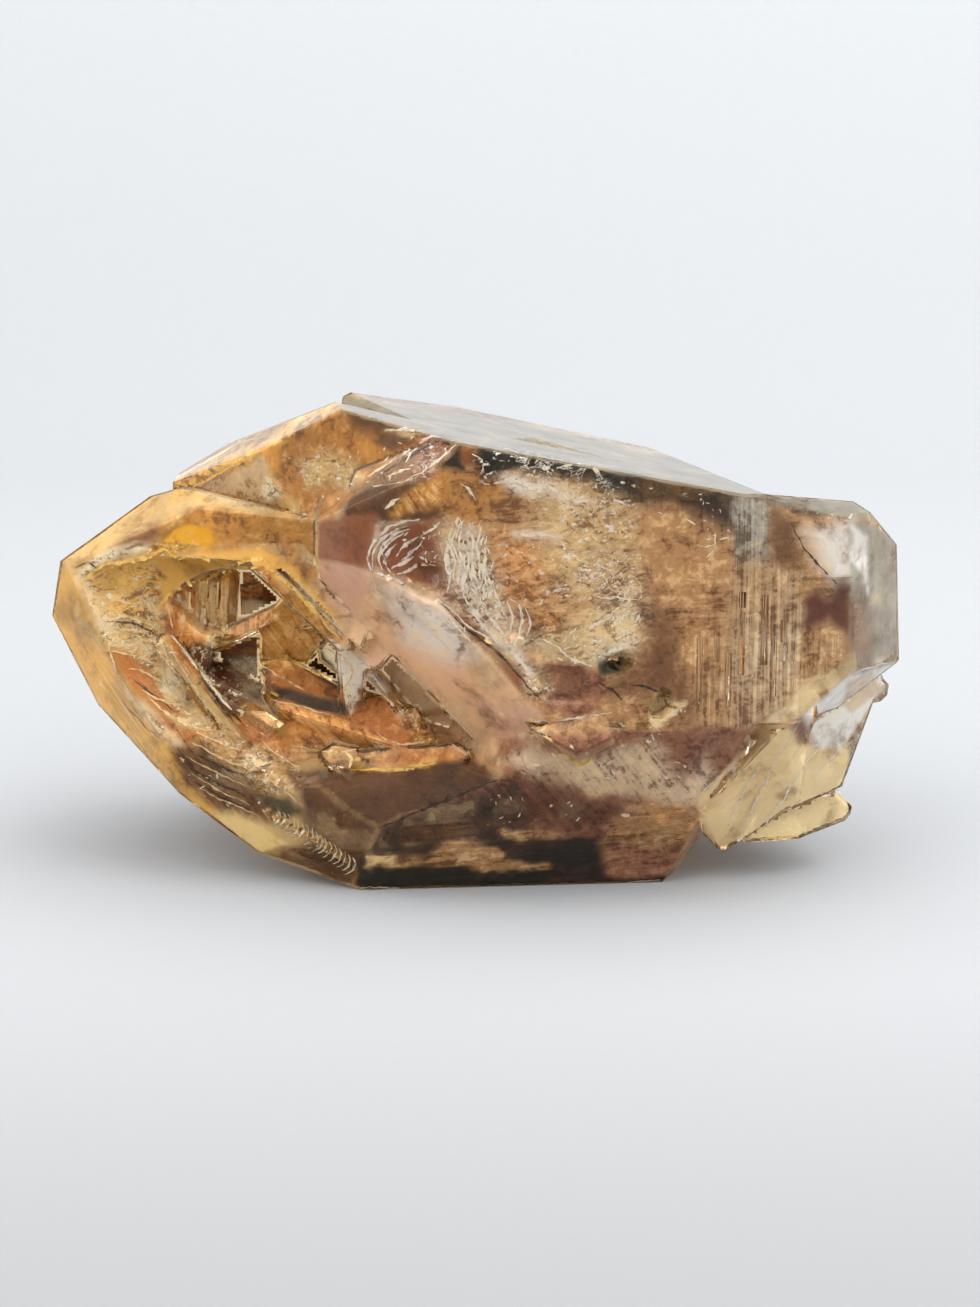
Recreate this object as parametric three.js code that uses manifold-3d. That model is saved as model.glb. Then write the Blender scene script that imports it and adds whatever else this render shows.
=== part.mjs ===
// A hand-sized cluster of elestial (skeletal, many-tipped) smoky quartz crystals, all grown together
// into one solid. Millimetres, +Z up. The cluster lies along X with its best side facing -Y, and rests
// on the flat base of its lower crystal at z = 0, with the origin under the middle of its outline.

import * as THREE from 'three';
import { ConvexGeometry } from 'three/addons/geometries/ConvexGeometry.js';
import { mergeVertices } from 'three/addons/utils/BufferGeometryUtils.js';
import Module from 'manifold-3d';

const wasm = await Module();
wasm.setup();

// ---------------------------------------------------------------------------------------------------
// Driving dimensions
// ---------------------------------------------------------------------------------------------------

const SMOKY_QUARTZ = { color: 0xb08a62, roughness: 0.08, metalness: 0 };

// Each large crystal is bounded by flat faces. A face is [azimuth, elevation, reach]: the way it looks,
// in degrees, and how far it lies from the cluster's reference point. Azimuth 0 looks along +X and -90
// along -Y, the front. Faces that two crystals share are named once. BLOCK_SIZE is the side of the block
// that the faces trim.

const BLOCK_SIZE = 300;
const BASE = [0, -90, 0];
const FRONT = [-86, 4, 30.35];
const LOWER_FRONT = [-85.8, -18.9, 19.4];
const LEFT_FRONT = [-100.4, 13.9, 28.55];
const LOWER_LEFT_FRONT = [-109.1, -12, 25.1];
const TOP = [16.6, 78.8, 59];

const MAIN_CRYSTAL = {
  front: FRONT,
  leftFront: [-117.9, 4.4, 30.7],
  leftUpper: [-153.1, 51.6, 56.4],
  shoulder: [-124.2, -26, 5.1],
  left: [176, 0, 19.4],
  leftUnder: [168, -42.8, -16.6],
  top: TOP,
  topRight: [22, 40, 56],
  topBackLeft: [105, 45.6, 54.6],
  topBackRight: [70, 36.6, 47.7],
  right: [4, 0, 43],
  rightUnder: [24, -44, 15.5],
  back: [94, -4, 22],
  backUnder: [94, -60, 2],
  under: [-86, -45, 2],
  base: BASE,
};

const RIGHT_CRYSTAL = {
  front: FRONT,
  topFront: [-38.3, 68.4, 67.4],
  topRight: [20, 48, 66.4],
  topBack: [90, 71, 44.1],
  rightFront: [-38.9, 3.8, 55.9],
  rightBack: [30, 2, 43],
  frontUnder: [-42.3, -34.8, 25.6],
  underBack: [30, -60, -4.9],
  under: [0, -90, -24.6],
  back: [94, -4, 12],
  left: [180, 0, -20],
};

const LOWER_CRYSTAL = {
  front: LOWER_FRONT,
  frontUpper: FRONT,
  frontLeft: LOWER_LEFT_FRONT,
  leftUpper: LEFT_FRONT,
  shoulder: [-149.7, 31.2, 18.2],
  right: [-26.9, -27.8, 27.7],
  rightUpper: [-40, -18, 34.8],
  rightBack: [24, -36, 15.5],
  rightBackUpper: [52, -8, 22],
  back: [94, -14, 21],
  left: [180, -20, 22],
  top: [0, 90, 26],
  base: BASE,
};

const LEFT_CRYSTAL = {
  front: LEFT_FRONT,
  frontLow: LOWER_LEFT_FRONT,
  frontRight: LOWER_FRONT,
  topLeft: [-132, 55.4, 59.9],
  topFront: [-92.3, 68.8, 51.3],
  topRight: [55, 53.5, 26.1],
  crest: [130, 70, 56.5],
  tip: [-138.9, -4.7, 44.2],
  leftLow: [-137.2, -14.7, 36],
  tipUnder: [173.4, -27, 35.9],
  underLeft: [170, -54, 12.2],
  under: [180, -75, 3.9],
  topBack: [130, 25.7, 45.6],
  back: [96, -6, 12],
  right: [-30, 0, 15.3],
  base: BASE,
};

const UPPER_CRYSTAL = {
  front: [-128.1, 7.5, 29.8],
  frontRight: FRONT,
  frontLeft: [-137.5, 0.3, 25.5],
  topLeft: [-171.5, 57.2, 64.4],
  top: TOP,
  topBack: [60, 40.5, 30.4],
  backUpper: [100, 29.4, 42.8],
  back: [100, -4, 22],
  left: [170, 0, 44.3],
  under: [0, -90, -46],
  right: [0, 0, 0],
};

// The hidden side is parallel growth: smaller six-sided crystals whose long axes follow one lattice
// axis, each grown a few degrees askew (swing). Each has its middle, the reach of its six long sides
// (girth), and the distance from its middle to its right and left tips.

const LATTICE_AXIS = [4, 0];
const LATTICE_SIDE = [-86, 4];
const TIP_SLOPE = 38.2;
// Every other side is broader: it lies nearer to the axis, and its tip face lies further out.
const BROAD_SIDE = 0.92;
const BROAD_TIP = 1.14;

const LEFT_CORE = { middle: [-22, 4, 34], girth: 12.5, right: 30, left: 31, swing: [-4, 0] };
const PARALLEL_CRYSTALS = [
  { middle: [13, 11, 32.5], girth: 14, right: 32, left: 29, swing: [0, 0] },
  { middle: [3, 9, 14.5], girth: 13.5, right: 32, left: 33, swing: [3, 0] },
  { middle: [33, 0, 31], girth: 13, right: 23, left: 22, swing: [0, 0] },
  { middle: [-5, 17, 41], girth: 8.5, right: 15, left: 18, swing: [-8, 6] },
  { middle: [22, 19, 25], girth: 8.5, right: 17, left: 19, swing: [6, -5] },
  { middle: [-27, 12, 22], girth: 8, right: 16, left: 18, swing: [-7, 4] },
  { middle: [-41, 5, 36], girth: 6, right: 15, left: 13, swing: [-10, 3] },
  { middle: [34, 9, 34], girth: 7.5, right: 13, left: 15, swing: [8, -4] },
  { middle: [-3, 20, 11], girth: 8, right: 16, left: 15, swing: [4, 5] },
  { middle: [29, 9, 12], girth: 8.5, right: 14, left: 15, swing: [12, -6] },
  { middle: [7, 24, 32], girth: 5, right: 9, left: 12, swing: [-5, 10] },
  { middle: [-13, 21, 26], girth: 5.5, right: 10, left: 9, swing: [10, -8] },
  { middle: [15, 18, 43], girth: 5.5, right: 10, left: 9, swing: [14, 8] },
  { middle: [38, 2, 20], girth: 5, right: 12, left: 10, swing: [-6, -10] },
];

// Skeletal windows in the hidden side: each is a set of stepped frames that sink into one long side of a
// parallel crystal (counted from the front one), at a distance along its axis from its middle.
const WINDOWS = [
  { crystal: 0, side: 2, along: 4, length: 26, height: 9, depth: 3 },
  { crystal: 3, side: 3, along: -2, length: 15, height: 5.6, depth: 2.4 },
  { crystal: 4, side: 3, along: 0, length: 17, height: 5.8, depth: 2.6 },
  { crystal: 5, side: 3, along: -3, length: 15, height: 5.2, depth: 2.2 },
  { crystal: 8, side: 3, along: 0, length: 16, height: 5.6, depth: 2.4 },
  { crystal: 9, side: 3, along: 2, length: 11, height: 5, depth: 2 },
];
const WINDOW_STEPS = [[1, 0.3], [0.76, 0.65], [0.5, 1]];

// The hollow in the left crystal: a funnel that narrows from its rim to its mouth, then the chambers.
// Outlines are [x, z] as seen from the front.
const HOLLOW_RIM = [
  [-52.8, 40.3], [-51.3, 41.8], [-44.5, 43.5], [-36, 42.5], [-29, 43.3], [-24.6, 42], [-16.9, 32.8],
  [-5.8, 21], [-2.3, 20.4], [-9, 18.6], [-17.2, 17.3], [-24, 14.5], [-31.6, 17.8], [-41.6, 23.4],
  [-48, 28.6], [-50.3, 33],
];
const HOLLOW_MOUTH = [
  [-43, 36.5], [-41, 39.5], [-37.3, 41.3], [-32.9, 42.6], [-26.2, 42.4], [-16.8, 32.4], [-5.8, 20.4],
  [-17.2, 18.4], [-26.5, 20.6], [-38.6, 27.5],
];
// The mouth lies this far behind the crystal's face, and every cut starts in front of the cluster.
const MOUTH_DEPTH = 4;
const IN_FRONT = -45;

// Each chamber behind the mouth has its outline, the y of its back wall and the share that it narrows to.
const CHAMBERS = {
  upper: {
    outline: [
      [-42.6, 36.5], [-40.7, 39.2], [-37.2, 41], [-32.8, 42.2], [-27, 42.2], [-20.8, 36], [-26, 31.5],
      [-37.6, 32.6],
    ],
    back: -1,
    narrowing: 0.86,
  },
  lower: {
    outline: [
      [-38.4, 28], [-37.6, 33.3], [-20.6, 36], [-16.8, 32.2], [-5.9, 20.8], [-17.2, 18.8], [-26.5, 21],
    ],
    back: -5,
    narrowing: 0.82,
  },
  shoulderGap: {
    outline: [
      [-17.6, 32.6], [-15.8, 38.5], [-4, 33], [6, 23], [4, 16.4], [2.4, 17], [1.8, 19.2], [-2.3, 20.4],
      [-8, 20.2],
    ],
    back: -12,
    narrowing: 0.8,
  },
};

// Thin blade crystals inside the hollow. Each runs from one point to another and looks along facing.
const HOLLOW_BLADES = {
  golden: { from: [-28.5, -10.5, 28.3], to: [-19.3, -11.5, 40], width: 8.5, thick: 1.6, facing: [-75, 20] },
  lens: { from: [-29, -13, 29], to: [-15.5, -15.5, 22.5], width: 5.5, thick: 1.5, facing: [-110, 35] },
  slat: { from: [-37.5, -8.5, 30.3], to: [-25.5, -11.5, 36.6], width: 2.4, thick: 1.2, facing: [-100, 40] },
  band: { from: [-29.8, -13.3, 44], to: [-16.6, -17.6, 32.6], width: 2.2, thick: 1.8, facing: [-110, 20] },
  orange: { from: [-28.5, -12.5, 25.5], to: [-5.5, -19, 20], width: 7, thick: 4, facing: [-100, 50] },
  slender: { from: [-42.5, -13.6, 33.5], to: [-29.5, -17.5, 17.5], width: 2.2, thick: 2, facing: [-120, 10] },
  shard: { from: [-21, -13, 30.5], to: [-10.5, -18, 33.5], width: 6, thick: 1.4, facing: [-80, 15] },
  spur: { from: [-16.8, -16, 34], to: [-16.2, -17.5, 20.5], width: 3.4, thick: 1.6, facing: [-70, 0] },
};
const RIB = { first: [-40.4, -3.5, 35.6], step: 2.1, count: 4, height: 8.5, width: 1.7, thick: 4 };

// The jagged chip and the low rim ledge on the near edge of the hollow.
const RIM_CHIPS = [
  { from: [-20.5, -19.8, 18.7], to: [-14.6, -22.6, 18.4], width: 3.2, thick: 2, facing: [-100, 40] },
  { from: [-18.5, -20.5, 19.4], to: [-16.4, -22.8, 15.8], width: 2.6, thick: 1.6, facing: [-60, 10] },
  { from: [-18, -20.3, 17.2], to: [-0.5, -23.2, 19.6], width: 3, thick: 2.4, facing: [-98, 40] },
];

// The clear rod that lies along the joint between the upper and the main crystal.
const ROD = { from: [-16, -17, 54.1], to: [-2.6, -25.2, 60.6], width: 3.8, thick: 3.2, facing: [-125, 25] };

// The fan of blades under the right end: front corners of each blade, which all run back by FAN_DEPTH.
const FAN_DEPTH = [-1.5, 9, 1.5];
const FAN_BLADES = [
  [[39.5, -24.2, 22.7], [43.5, -22.2, 23.8], [41.6, -23, 22.2], [34.2, -17.5, 4.3], [33.2, -18, 4.5],
    [31, -19, 7], [30.2, -22.6, 11.4]],
  [[41.6, -22.4, 22.2], [45, -19.5, 22.3], [44.2, -18, 11.5], [38, -18, 8.3], [36.5, -18.3, 6],
    [34.2, -17.4, 4.3]],
  [[44.6, -19.6, 22.6], [55.2, -14.4, 28], [53.3, -13.4, 21.3], [51, -13.8, 19.6], [50.4, -13.6, 12],
    [44, -15.8, 11.6], [43, -17.8, 10]],
  [[54.6, -14.2, 28.4], [56.3, -13, 26.4], [56.2, -12.6, 24.8], [55.3, -12.6, 23.9], [50, -14.6, 23.6]],
  [[36.5, -18, 5.4], [40.2, -16.8, 8.9], [43.7, -15.4, 11.5], [50, -13.8, 11], [52, -13, 9], [51.8, -13, 7.8],
    [50.9, -13.6, 7], [46.5, -15, 5.9], [44.5, -16, 5.3]],
  [[51, -13.6, 19.2], [52.2, -12.8, 17.2], [50.6, -13, 15.2], [49, -13.6, 17]],
];

const FAN_ROOT = { middle: [35, -8, 16], girth: 7.5, right: 18, left: 18, swing: [10, 0] };

// Relief on the big faces. The ledge hangs over the joint between the main and the lower crystal.
const LEDGE = [
  [6.6, -26.5, 25.2], [16.4, -26.5, 27], [7.4, -28.9, 24.6], [9.4, -30, 24], [13.4, -30.4, 21.9],
  [18, -29.6, 23.8], [10, -27, 22.8], [13.8, -25.8, 19.2], [18.8, -26.4, 21.8], [17, -27.4, 26.4],
];
const RHOMBUS_PIT = [[5.4, 34.2], [8.8, 27.2], [15.9, 26.9], [15.8, 33.2]];
const CHIP_PIT = [[22, 23.6], [22.9, 27.6], [24.4, 30.6], [26.4, 29.6], [25.8, 26.6], [23.6, 23.9]];
const DARK_PIT = [[16.1, 33.1], [19.2, 34.4], [21.5, 33.6], [19.6, 31.9]];
const TOP_WEDGE = [
  [4, -10.6, 60.4], [7.6, -3.4, 59.3], [19.2, -13.4, 57.7], [10.9, -7.5, 58.9], [9.5, -9, 57],
];

// Growth striations: shallow upright grooves near the right of the front face, [x, low z, high z].
const GROOVES = [
  [29.3, 25, 44], [31.2, 26, 49], [33, 25, 41], [34.6, 28, 52], [36.2, 25, 46], [37.6, 30, 50],
  [39, 26, 44], [40.3, 27, 47], [41.6, 26, 43],
];
const GROOVE_WIDTH = 0.6;
const GROOVE_DEPTH = 0.4;

// The part of the front face right of this x is one growth step lower.
const STEP = { x: 42.6, top: 43.9, depth: 0.4 };

// A shell-shaped scar on the left front face: nested shallow bowls.
const SCAR = { middle: [-7.6, -26.4, 46.5], look: [-117.9, 4.4], radii: [6.4, 5.2, 4, 2.8], lift: 0.35 };

// A stack of small curled ribs on the lower left face.
const CURLS = { from: [-27.9, -19.7, 9.9], to: [-17.8, -22.1, 4.9], count: 9, radius: 1.7 };

// ---------------------------------------------------------------------------------------------------
// Helpers
// ---------------------------------------------------------------------------------------------------

function vector(point) {
  return new THREE.Vector3(...point);
}

// The unit vector that looks along an azimuth and elevation in degrees.
function direction([azimuth, elevation]) {
  const turn = THREE.MathUtils.degToRad(azimuth);
  const tilt = THREE.MathUtils.degToRad(elevation);
  return new THREE.Vector3(Math.cos(tilt) * Math.cos(turn), Math.cos(tilt) * Math.sin(turn), Math.sin(tilt));
}

// A closed geometry as a solid that can be joined and cut.
function solidFrom(geometry) {
  geometry.deleteAttribute('normal');
  geometry.deleteAttribute('uv');
  const merged = mergeVertices(geometry, 1e-4);
  return new wasm.Manifold(new wasm.Mesh({
    numProp: 3,
    vertProperties: new Float32Array(merged.attributes.position.array),
    triVerts: new Uint32Array(merged.index.array),
  }));
}

// The convex solid that spans a list of corner points.
function hullOf(points) {
  return solidFrom(new ConvexGeometry(points));
}

function block() {
  return solidFrom(new THREE.BoxGeometry(BLOCK_SIZE, BLOCK_SIZE, BLOCK_SIZE));
}

// Keeps what lies behind a plane that looks along outward at a distance from the reference point.
function trimmed(solid, outward, reach) {
  return solid.trimByPlane([-outward.x, -outward.y, -outward.z], -reach);
}

// A crystal: a block trimmed by each of its flat faces.
function crystal(faces) {
  let solid = block();
  for (const face of Object.values(faces)) {
    solid = trimmed(solid, direction(face), face[2]);
  }
  return solid;
}

// The axis of a parallel crystal.
function axisOf({ swing }) {
  return direction([LATTICE_AXIS[0] + swing[0], LATTICE_AXIS[1] + swing[1]]);
}

// The way that one long side of a parallel crystal looks.
function sideOf(parallel, k) {
  const axis = axisOf(parallel);
  return direction(LATTICE_SIDE).projectOnPlane(axis).normalize().applyAxisAngle(axis, k * Math.PI / 3);
}

// A six-sided crystal near the common lattice, pointed at both ends, above the base.
function parallelCrystal(parallel) {
  const { middle, girth, right, left } = parallel;
  const centre = vector(middle);
  const axis = axisOf(parallel);
  const slope = THREE.MathUtils.degToRad(TIP_SLOPE);
  let solid = block();
  for (let k = 0; k < 6; k += 1) {
    const isBroad = k % 2 === 0;
    const side = sideOf(parallel, k);
    solid = trimmed(solid, side, side.dot(centre) + girth * (isBroad ? BROAD_SIDE : 1));
    for (const [way, length] of [[1, right], [-1, left]]) {
      const tipFace = side.clone().multiplyScalar(Math.sin(slope));
      tipFace.addScaledVector(axis, way * Math.cos(slope));
      const tipReach = length * Math.cos(slope) * (isBroad ? BROAD_TIP : 1);
      solid = trimmed(solid, tipFace, tipFace.dot(centre) + tipReach);
    }
  }
  return trimmed(solid, direction(BASE), BASE[2]);
}

// A thin flat crystal with a roof-shaped tip at each end.
function blade({ from, to, width, thick, facing }) {
  const start = vector(from);
  const end = vector(to);
  const along = end.clone().sub(start).normalize();
  const across = direction(facing).cross(along).normalize();
  const out = along.clone().cross(across);
  const taper = Math.min(width / 2, start.distanceTo(end) / 3);
  const stations = [
    { middle: start, halfWidth: 0.12 * width, halfThick: 0.2 * thick },
    { middle: start.clone().addScaledVector(along, taper), halfWidth: width / 2, halfThick: thick / 2 },
    { middle: end.clone().addScaledVector(along, -taper), halfWidth: width / 2, halfThick: thick / 2 },
    { middle: end, halfWidth: 0.12 * width, halfThick: 0.2 * thick },
  ];
  const corners = [];
  for (const { middle, halfWidth, halfThick } of stations) {
    for (const sideways of [-halfWidth, halfWidth]) {
      for (const outwards of [-halfThick, halfThick]) {
        corners.push(middle.clone().addScaledVector(across, sideways).addScaledVector(out, outwards));
      }
    }
  }
  return hullOf(corners);
}

// An outline shrunk towards its own middle.
function shrunk(outline, factor) {
  const middleX = outline.reduce((sum, [x]) => sum + x, 0) / outline.length;
  const middleZ = outline.reduce((sum, [, z]) => sum + z, 0) / outline.length;
  return outline.map(([x, z]) => [middleX + (x - middleX) * factor, middleZ + (z - middleZ) * factor]);
}

// The y of a face at a given x and z.
function depthOf(face, x, z) {
  const outward = direction(face);
  return (face[2] - outward.x * x - outward.z * z) / outward.y;
}

// A pit that follows a face: an outline of [x, z] points sunk into it, narrower at its floor.
function pitIn(face, outline, depth) {
  const points = [];
  for (const [x, z] of outline) {
    points.push(new THREE.Vector3(x, depthOf(face, x, z) - 1, z));
  }
  for (const [x, z] of shrunk(outline, 0.45)) {
    points.push(new THREE.Vector3(x, depthOf(face, x, z) + depth, z));
  }
  return hullOf(points);
}

function union(solids) {
  return solids.reduce((joined, solid) => joined.add(solid));
}

// ---------------------------------------------------------------------------------------------------
// The hollow and what grows in it
// ---------------------------------------------------------------------------------------------------

// The funnel follows the left crystal's front face, so each outline point lies on that face or behind it.
function funnel() {
  const points = [];
  for (const [x, z] of HOLLOW_RIM) {
    points.push(new THREE.Vector3(x, depthOf(LEFT_FRONT, x, z), z));
    points.push(new THREE.Vector3(x, IN_FRONT, z));
  }
  for (const [x, z] of HOLLOW_MOUTH) {
    points.push(new THREE.Vector3(x, depthOf(LEFT_FRONT, x, z) + MOUTH_DEPTH, z));
  }
  return hullOf(points);
}

function chamber({ outline, back, narrowing }) {
  return hullOf([
    ...outline.map(([x, z]) => new THREE.Vector3(x, IN_FRONT, z)),
    ...shrunk(outline, narrowing).map(([x, z]) => new THREE.Vector3(x, back, z)),
  ]);
}

function hollow() {
  return union([funnel(), ...Object.values(CHAMBERS).map(chamber)]);
}

// Upright rounded ribs on the back wall of the upper chamber.
function ribs() {
  const { first, step, count, height, width, thick } = RIB;
  const made = [];
  for (let k = 0; k < count; k += 1) {
    const x = first[0] + k * step;
    made.push(blade({
      from: [x - 0.4, first[1] - 0.6 * k, first[2] - height / 2],
      to: [x + 0.5, first[1] - 0.6 * k, first[2] + height / 2 + 0.3 * k],
      width,
      thick,
      facing: [-90 - 12 * (k % 2), 0],
    }));
  }
  return union(made);
}

// ---------------------------------------------------------------------------------------------------
// Relief on the faces
// ---------------------------------------------------------------------------------------------------

function fan() {
  const depth = vector(FAN_DEPTH);
  return union(FAN_BLADES.map((corners) => {
    const front = corners.map(vector);
    const middle = front.reduce((sum, p) => sum.add(p), new THREE.Vector3()).divideScalar(front.length);
    const back = front.map((p) => p.clone().lerp(middle, 0.12).add(depth));
    return hullOf([...front, ...back]);
  }));
}

// Fills the space behind the fan, where its blades meet the lower crystal.
function fanRoot() {
  return parallelCrystal(FAN_ROOT);
}

function grooves() {
  return union(GROOVES.map(([x, low, high]) => {
    const points = [];
    for (const z of [low, high]) {
      const y = depthOf(FRONT, x, z);
      points.push(new THREE.Vector3(x - GROOVE_WIDTH / 2, y - 0.2, z));
      points.push(new THREE.Vector3(x + GROOVE_WIDTH / 2, y - 0.2, z));
    }
    const middle = (low + high) / 2;
    const quarter = (high - low) / 4;
    points.push(new THREE.Vector3(x + 0.1, depthOf(FRONT, x, middle) + GROOVE_DEPTH, middle - quarter));
    points.push(new THREE.Vector3(x + 0.1, depthOf(FRONT, x, middle) + GROOVE_DEPTH, middle + quarter));
    return hullOf(points);
  }));
}

function growthStep() {
  const outward = direction(FRONT);
  const { x, top, depth } = STEP;
  const solid = block().translate([x + BLOCK_SIZE / 2, 0, top - BLOCK_SIZE / 2]);
  return trimmed(solid, outward.clone().negate(), -(FRONT[2] - depth));
}

function scar() {
  const outward = direction(SCAR.look);
  const bowls = SCAR.radii.map((radius, k) => {
    const bowl = new THREE.SphereGeometry(1, 20, 12);
    bowl.scale(radius * 0.8, radius * 1.15, 0.9 + 0.35 * k);
    const turn = new THREE.Quaternion().setFromUnitVectors(new THREE.Vector3(0, 0, 1), outward);
    bowl.applyQuaternion(turn);
    const middle = vector(SCAR.middle).addScaledVector(outward, SCAR.lift);
    bowl.translate(middle.x + 0.5 * k, middle.y, middle.z - 0.4 * k);
    return solidFrom(bowl);
  });
  return union(bowls);
}

function curls() {
  const start = vector(CURLS.from);
  const end = vector(CURLS.to);
  const made = [];
  for (let k = 0; k < CURLS.count; k += 1) {
    const share = k / (CURLS.count - 1);
    const ring = new THREE.TorusGeometry(CURLS.radius * (1 - 0.3 * share), 0.36, 5, 14);
    ring.rotateY(THREE.MathUtils.degToRad(55));
    ring.rotateX(THREE.MathUtils.degToRad(-20));
    const place = start.clone().lerp(end, share);
    ring.translate(place.x, place.y + 0.8, place.z);
    made.push(solidFrom(ring));
  }
  return union(made);
}

// Frames that step down into one side of a parallel crystal, each an uneven six-cornered outline.
function skeletalWindow({ crystal: index, side, along, length, height, depth }) {
  const parallel = PARALLEL_CRYSTALS[index];
  const axis = axisOf(parallel);
  const outward = sideOf(parallel, side);
  const up = outward.clone().cross(axis);
  const reach = parallel.girth * (side % 2 === 0 ? BROAD_SIDE : 1);
  const middle = vector(parallel.middle).addScaledVector(outward, reach).addScaledVector(axis, along);
  const outline = [[-0.5, -0.1], [-0.32, 0.5], [0.36, 0.5], [0.5, 0.15], [0.3, -0.5], [-0.38, -0.5]];
  return union(WINDOW_STEPS.map(([size, share]) => {
    const corners = [];
    for (const [lift, scale] of [[1, size], [-depth * share, size * 0.92]]) {
      for (const [lengthways, upwards] of outline) {
        corners.push(middle.clone()
          .addScaledVector(outward, lift)
          .addScaledVector(axis, lengthways * length * scale)
          .addScaledVector(up, upwards * height * scale));
      }
    }
    return hullOf(corners);
  }));
}

// ---------------------------------------------------------------------------------------------------
// The cluster
// ---------------------------------------------------------------------------------------------------

function quartzCluster() {
  const hollowed = crystal(LEFT_CRYSTAL)
    .add(parallelCrystal(LEFT_CORE))
    .subtract(hollow())
    .add(union(Object.values(HOLLOW_BLADES).map(blade)))
    .add(union(RIM_CHIPS.map(blade)))
    .add(ribs());
  const behind = union(PARALLEL_CRYSTALS.map(parallelCrystal))
    .subtract(hollow())
    .subtract(union(WINDOWS.map(skeletalWindow)));
  return hollowed
    .add(behind)
    .add(crystal(UPPER_CRYSTAL))
    .add(crystal(LOWER_CRYSTAL))
    .add(union([crystal(MAIN_CRYSTAL), crystal(RIGHT_CRYSTAL)])
      .subtract(growthStep())
      .subtract(grooves())
      .subtract(scar())
      .subtract(pitIn(FRONT, RHOMBUS_PIT, 1.2))
      .subtract(pitIn(FRONT, CHIP_PIT, 2))
      .subtract(pitIn(FRONT, DARK_PIT, 2.5))
      .subtract(hullOf(TOP_WEDGE.map(vector))))
    .add(hullOf(LEDGE.map(vector)))
    .add(blade(ROD))
    .add(curls())
    .add(fanRoot())
    .add(fan());
}

// The solid inside its outer surface: gaps that close up where crystals meet grow shut.
function filled(solid) {
  const shells = solid.decompose();
  return shells.reduce((largest, shell) => (shell.volume() > largest.volume() ? shell : largest));
}

// How far to move the solid so that the origin lies under the middle of its outline, on its base.
function centring(solid) {
  const { min, max } = solid.boundingBox();
  return [-(min[0] + max[0]) / 2, -(min[1] + max[1]) / 2, -min[2]];
}

function geometryOf(solid) {
  const { vertProperties, triVerts, numProp } = solid.getMesh();
  const indexed = new THREE.BufferGeometry();
  indexed.setAttribute('position', new THREE.BufferAttribute(vertProperties, numProp));
  indexed.setIndex(new THREE.BufferAttribute(triVerts, 1));
  const geometry = indexed.toNonIndexed();
  geometry.computeVertexNormals();
  return geometry;
}

const cluster = filled(quartzCluster());
const geometry = geometryOf(cluster.translate(centring(cluster)));
const mesh = new THREE.Mesh(geometry, new THREE.MeshStandardMaterial(SMOKY_QUARTZ));
mesh.name = 'quartz_cluster';

const group = new THREE.Group();
group.add(mesh);

export default group;
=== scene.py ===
import math
import random

import bmesh
import bpy
import numpy as np
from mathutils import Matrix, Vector, noise
from mathutils.bvhtree import BVHTree


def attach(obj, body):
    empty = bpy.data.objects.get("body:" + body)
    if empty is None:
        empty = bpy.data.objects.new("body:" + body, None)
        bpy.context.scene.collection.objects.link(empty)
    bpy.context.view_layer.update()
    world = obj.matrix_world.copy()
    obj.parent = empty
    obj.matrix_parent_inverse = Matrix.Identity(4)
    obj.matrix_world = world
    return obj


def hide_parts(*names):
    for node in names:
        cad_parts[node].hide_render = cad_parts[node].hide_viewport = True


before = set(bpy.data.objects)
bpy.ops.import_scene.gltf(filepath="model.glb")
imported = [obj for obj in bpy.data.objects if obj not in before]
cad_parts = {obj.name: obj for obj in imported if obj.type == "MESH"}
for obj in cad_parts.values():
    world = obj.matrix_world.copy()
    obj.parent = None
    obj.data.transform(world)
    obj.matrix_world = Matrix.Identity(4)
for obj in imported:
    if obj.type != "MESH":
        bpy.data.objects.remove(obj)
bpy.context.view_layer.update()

CAD_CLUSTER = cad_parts["quartz_cluster"]
RANDOM = random.Random(7)
MM = 0.001


def add_object(name, data):
    made = bpy.data.objects.new(name, data)
    bpy.context.scene.collection.objects.link(made)
    return made


# ---- The camera, at the photograph's viewing angle ----

PHOTO_SIZE = (980, 1307)
CAMERA_TARGET = Vector((2.8, 0.5, 27.3)) * MM
CAMERA_ELEVATION = math.radians(15)
CAMERA_DISTANCE = 330 * MM
FOCAL_PIXELS = 2337
SENSOR = 36

LOOK = Vector((0, math.cos(CAMERA_ELEVATION), -math.sin(CAMERA_ELEVATION)))
CAMERA_RIGHT = Vector((1, 0, 0))
CAMERA_UP = Vector((0, math.sin(CAMERA_ELEVATION), math.cos(CAMERA_ELEVATION)))
CAMERA_PLACE = CAMERA_TARGET - LOOK * CAMERA_DISTANCE


def make_camera():
    data = bpy.data.cameras.new("camera")
    data.sensor_width = SENSOR
    data.lens = FOCAL_PIXELS / PHOTO_SIZE[1] * SENSOR
    data.clip_start = 0.01
    data.clip_end = 10
    camera = add_object("camera", data)
    camera.location = CAMERA_PLACE
    camera.rotation_euler = (math.pi / 2 - CAMERA_ELEVATION, 0, 0)
    bpy.context.scene.camera = camera


# ---- Node graphs ----


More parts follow.
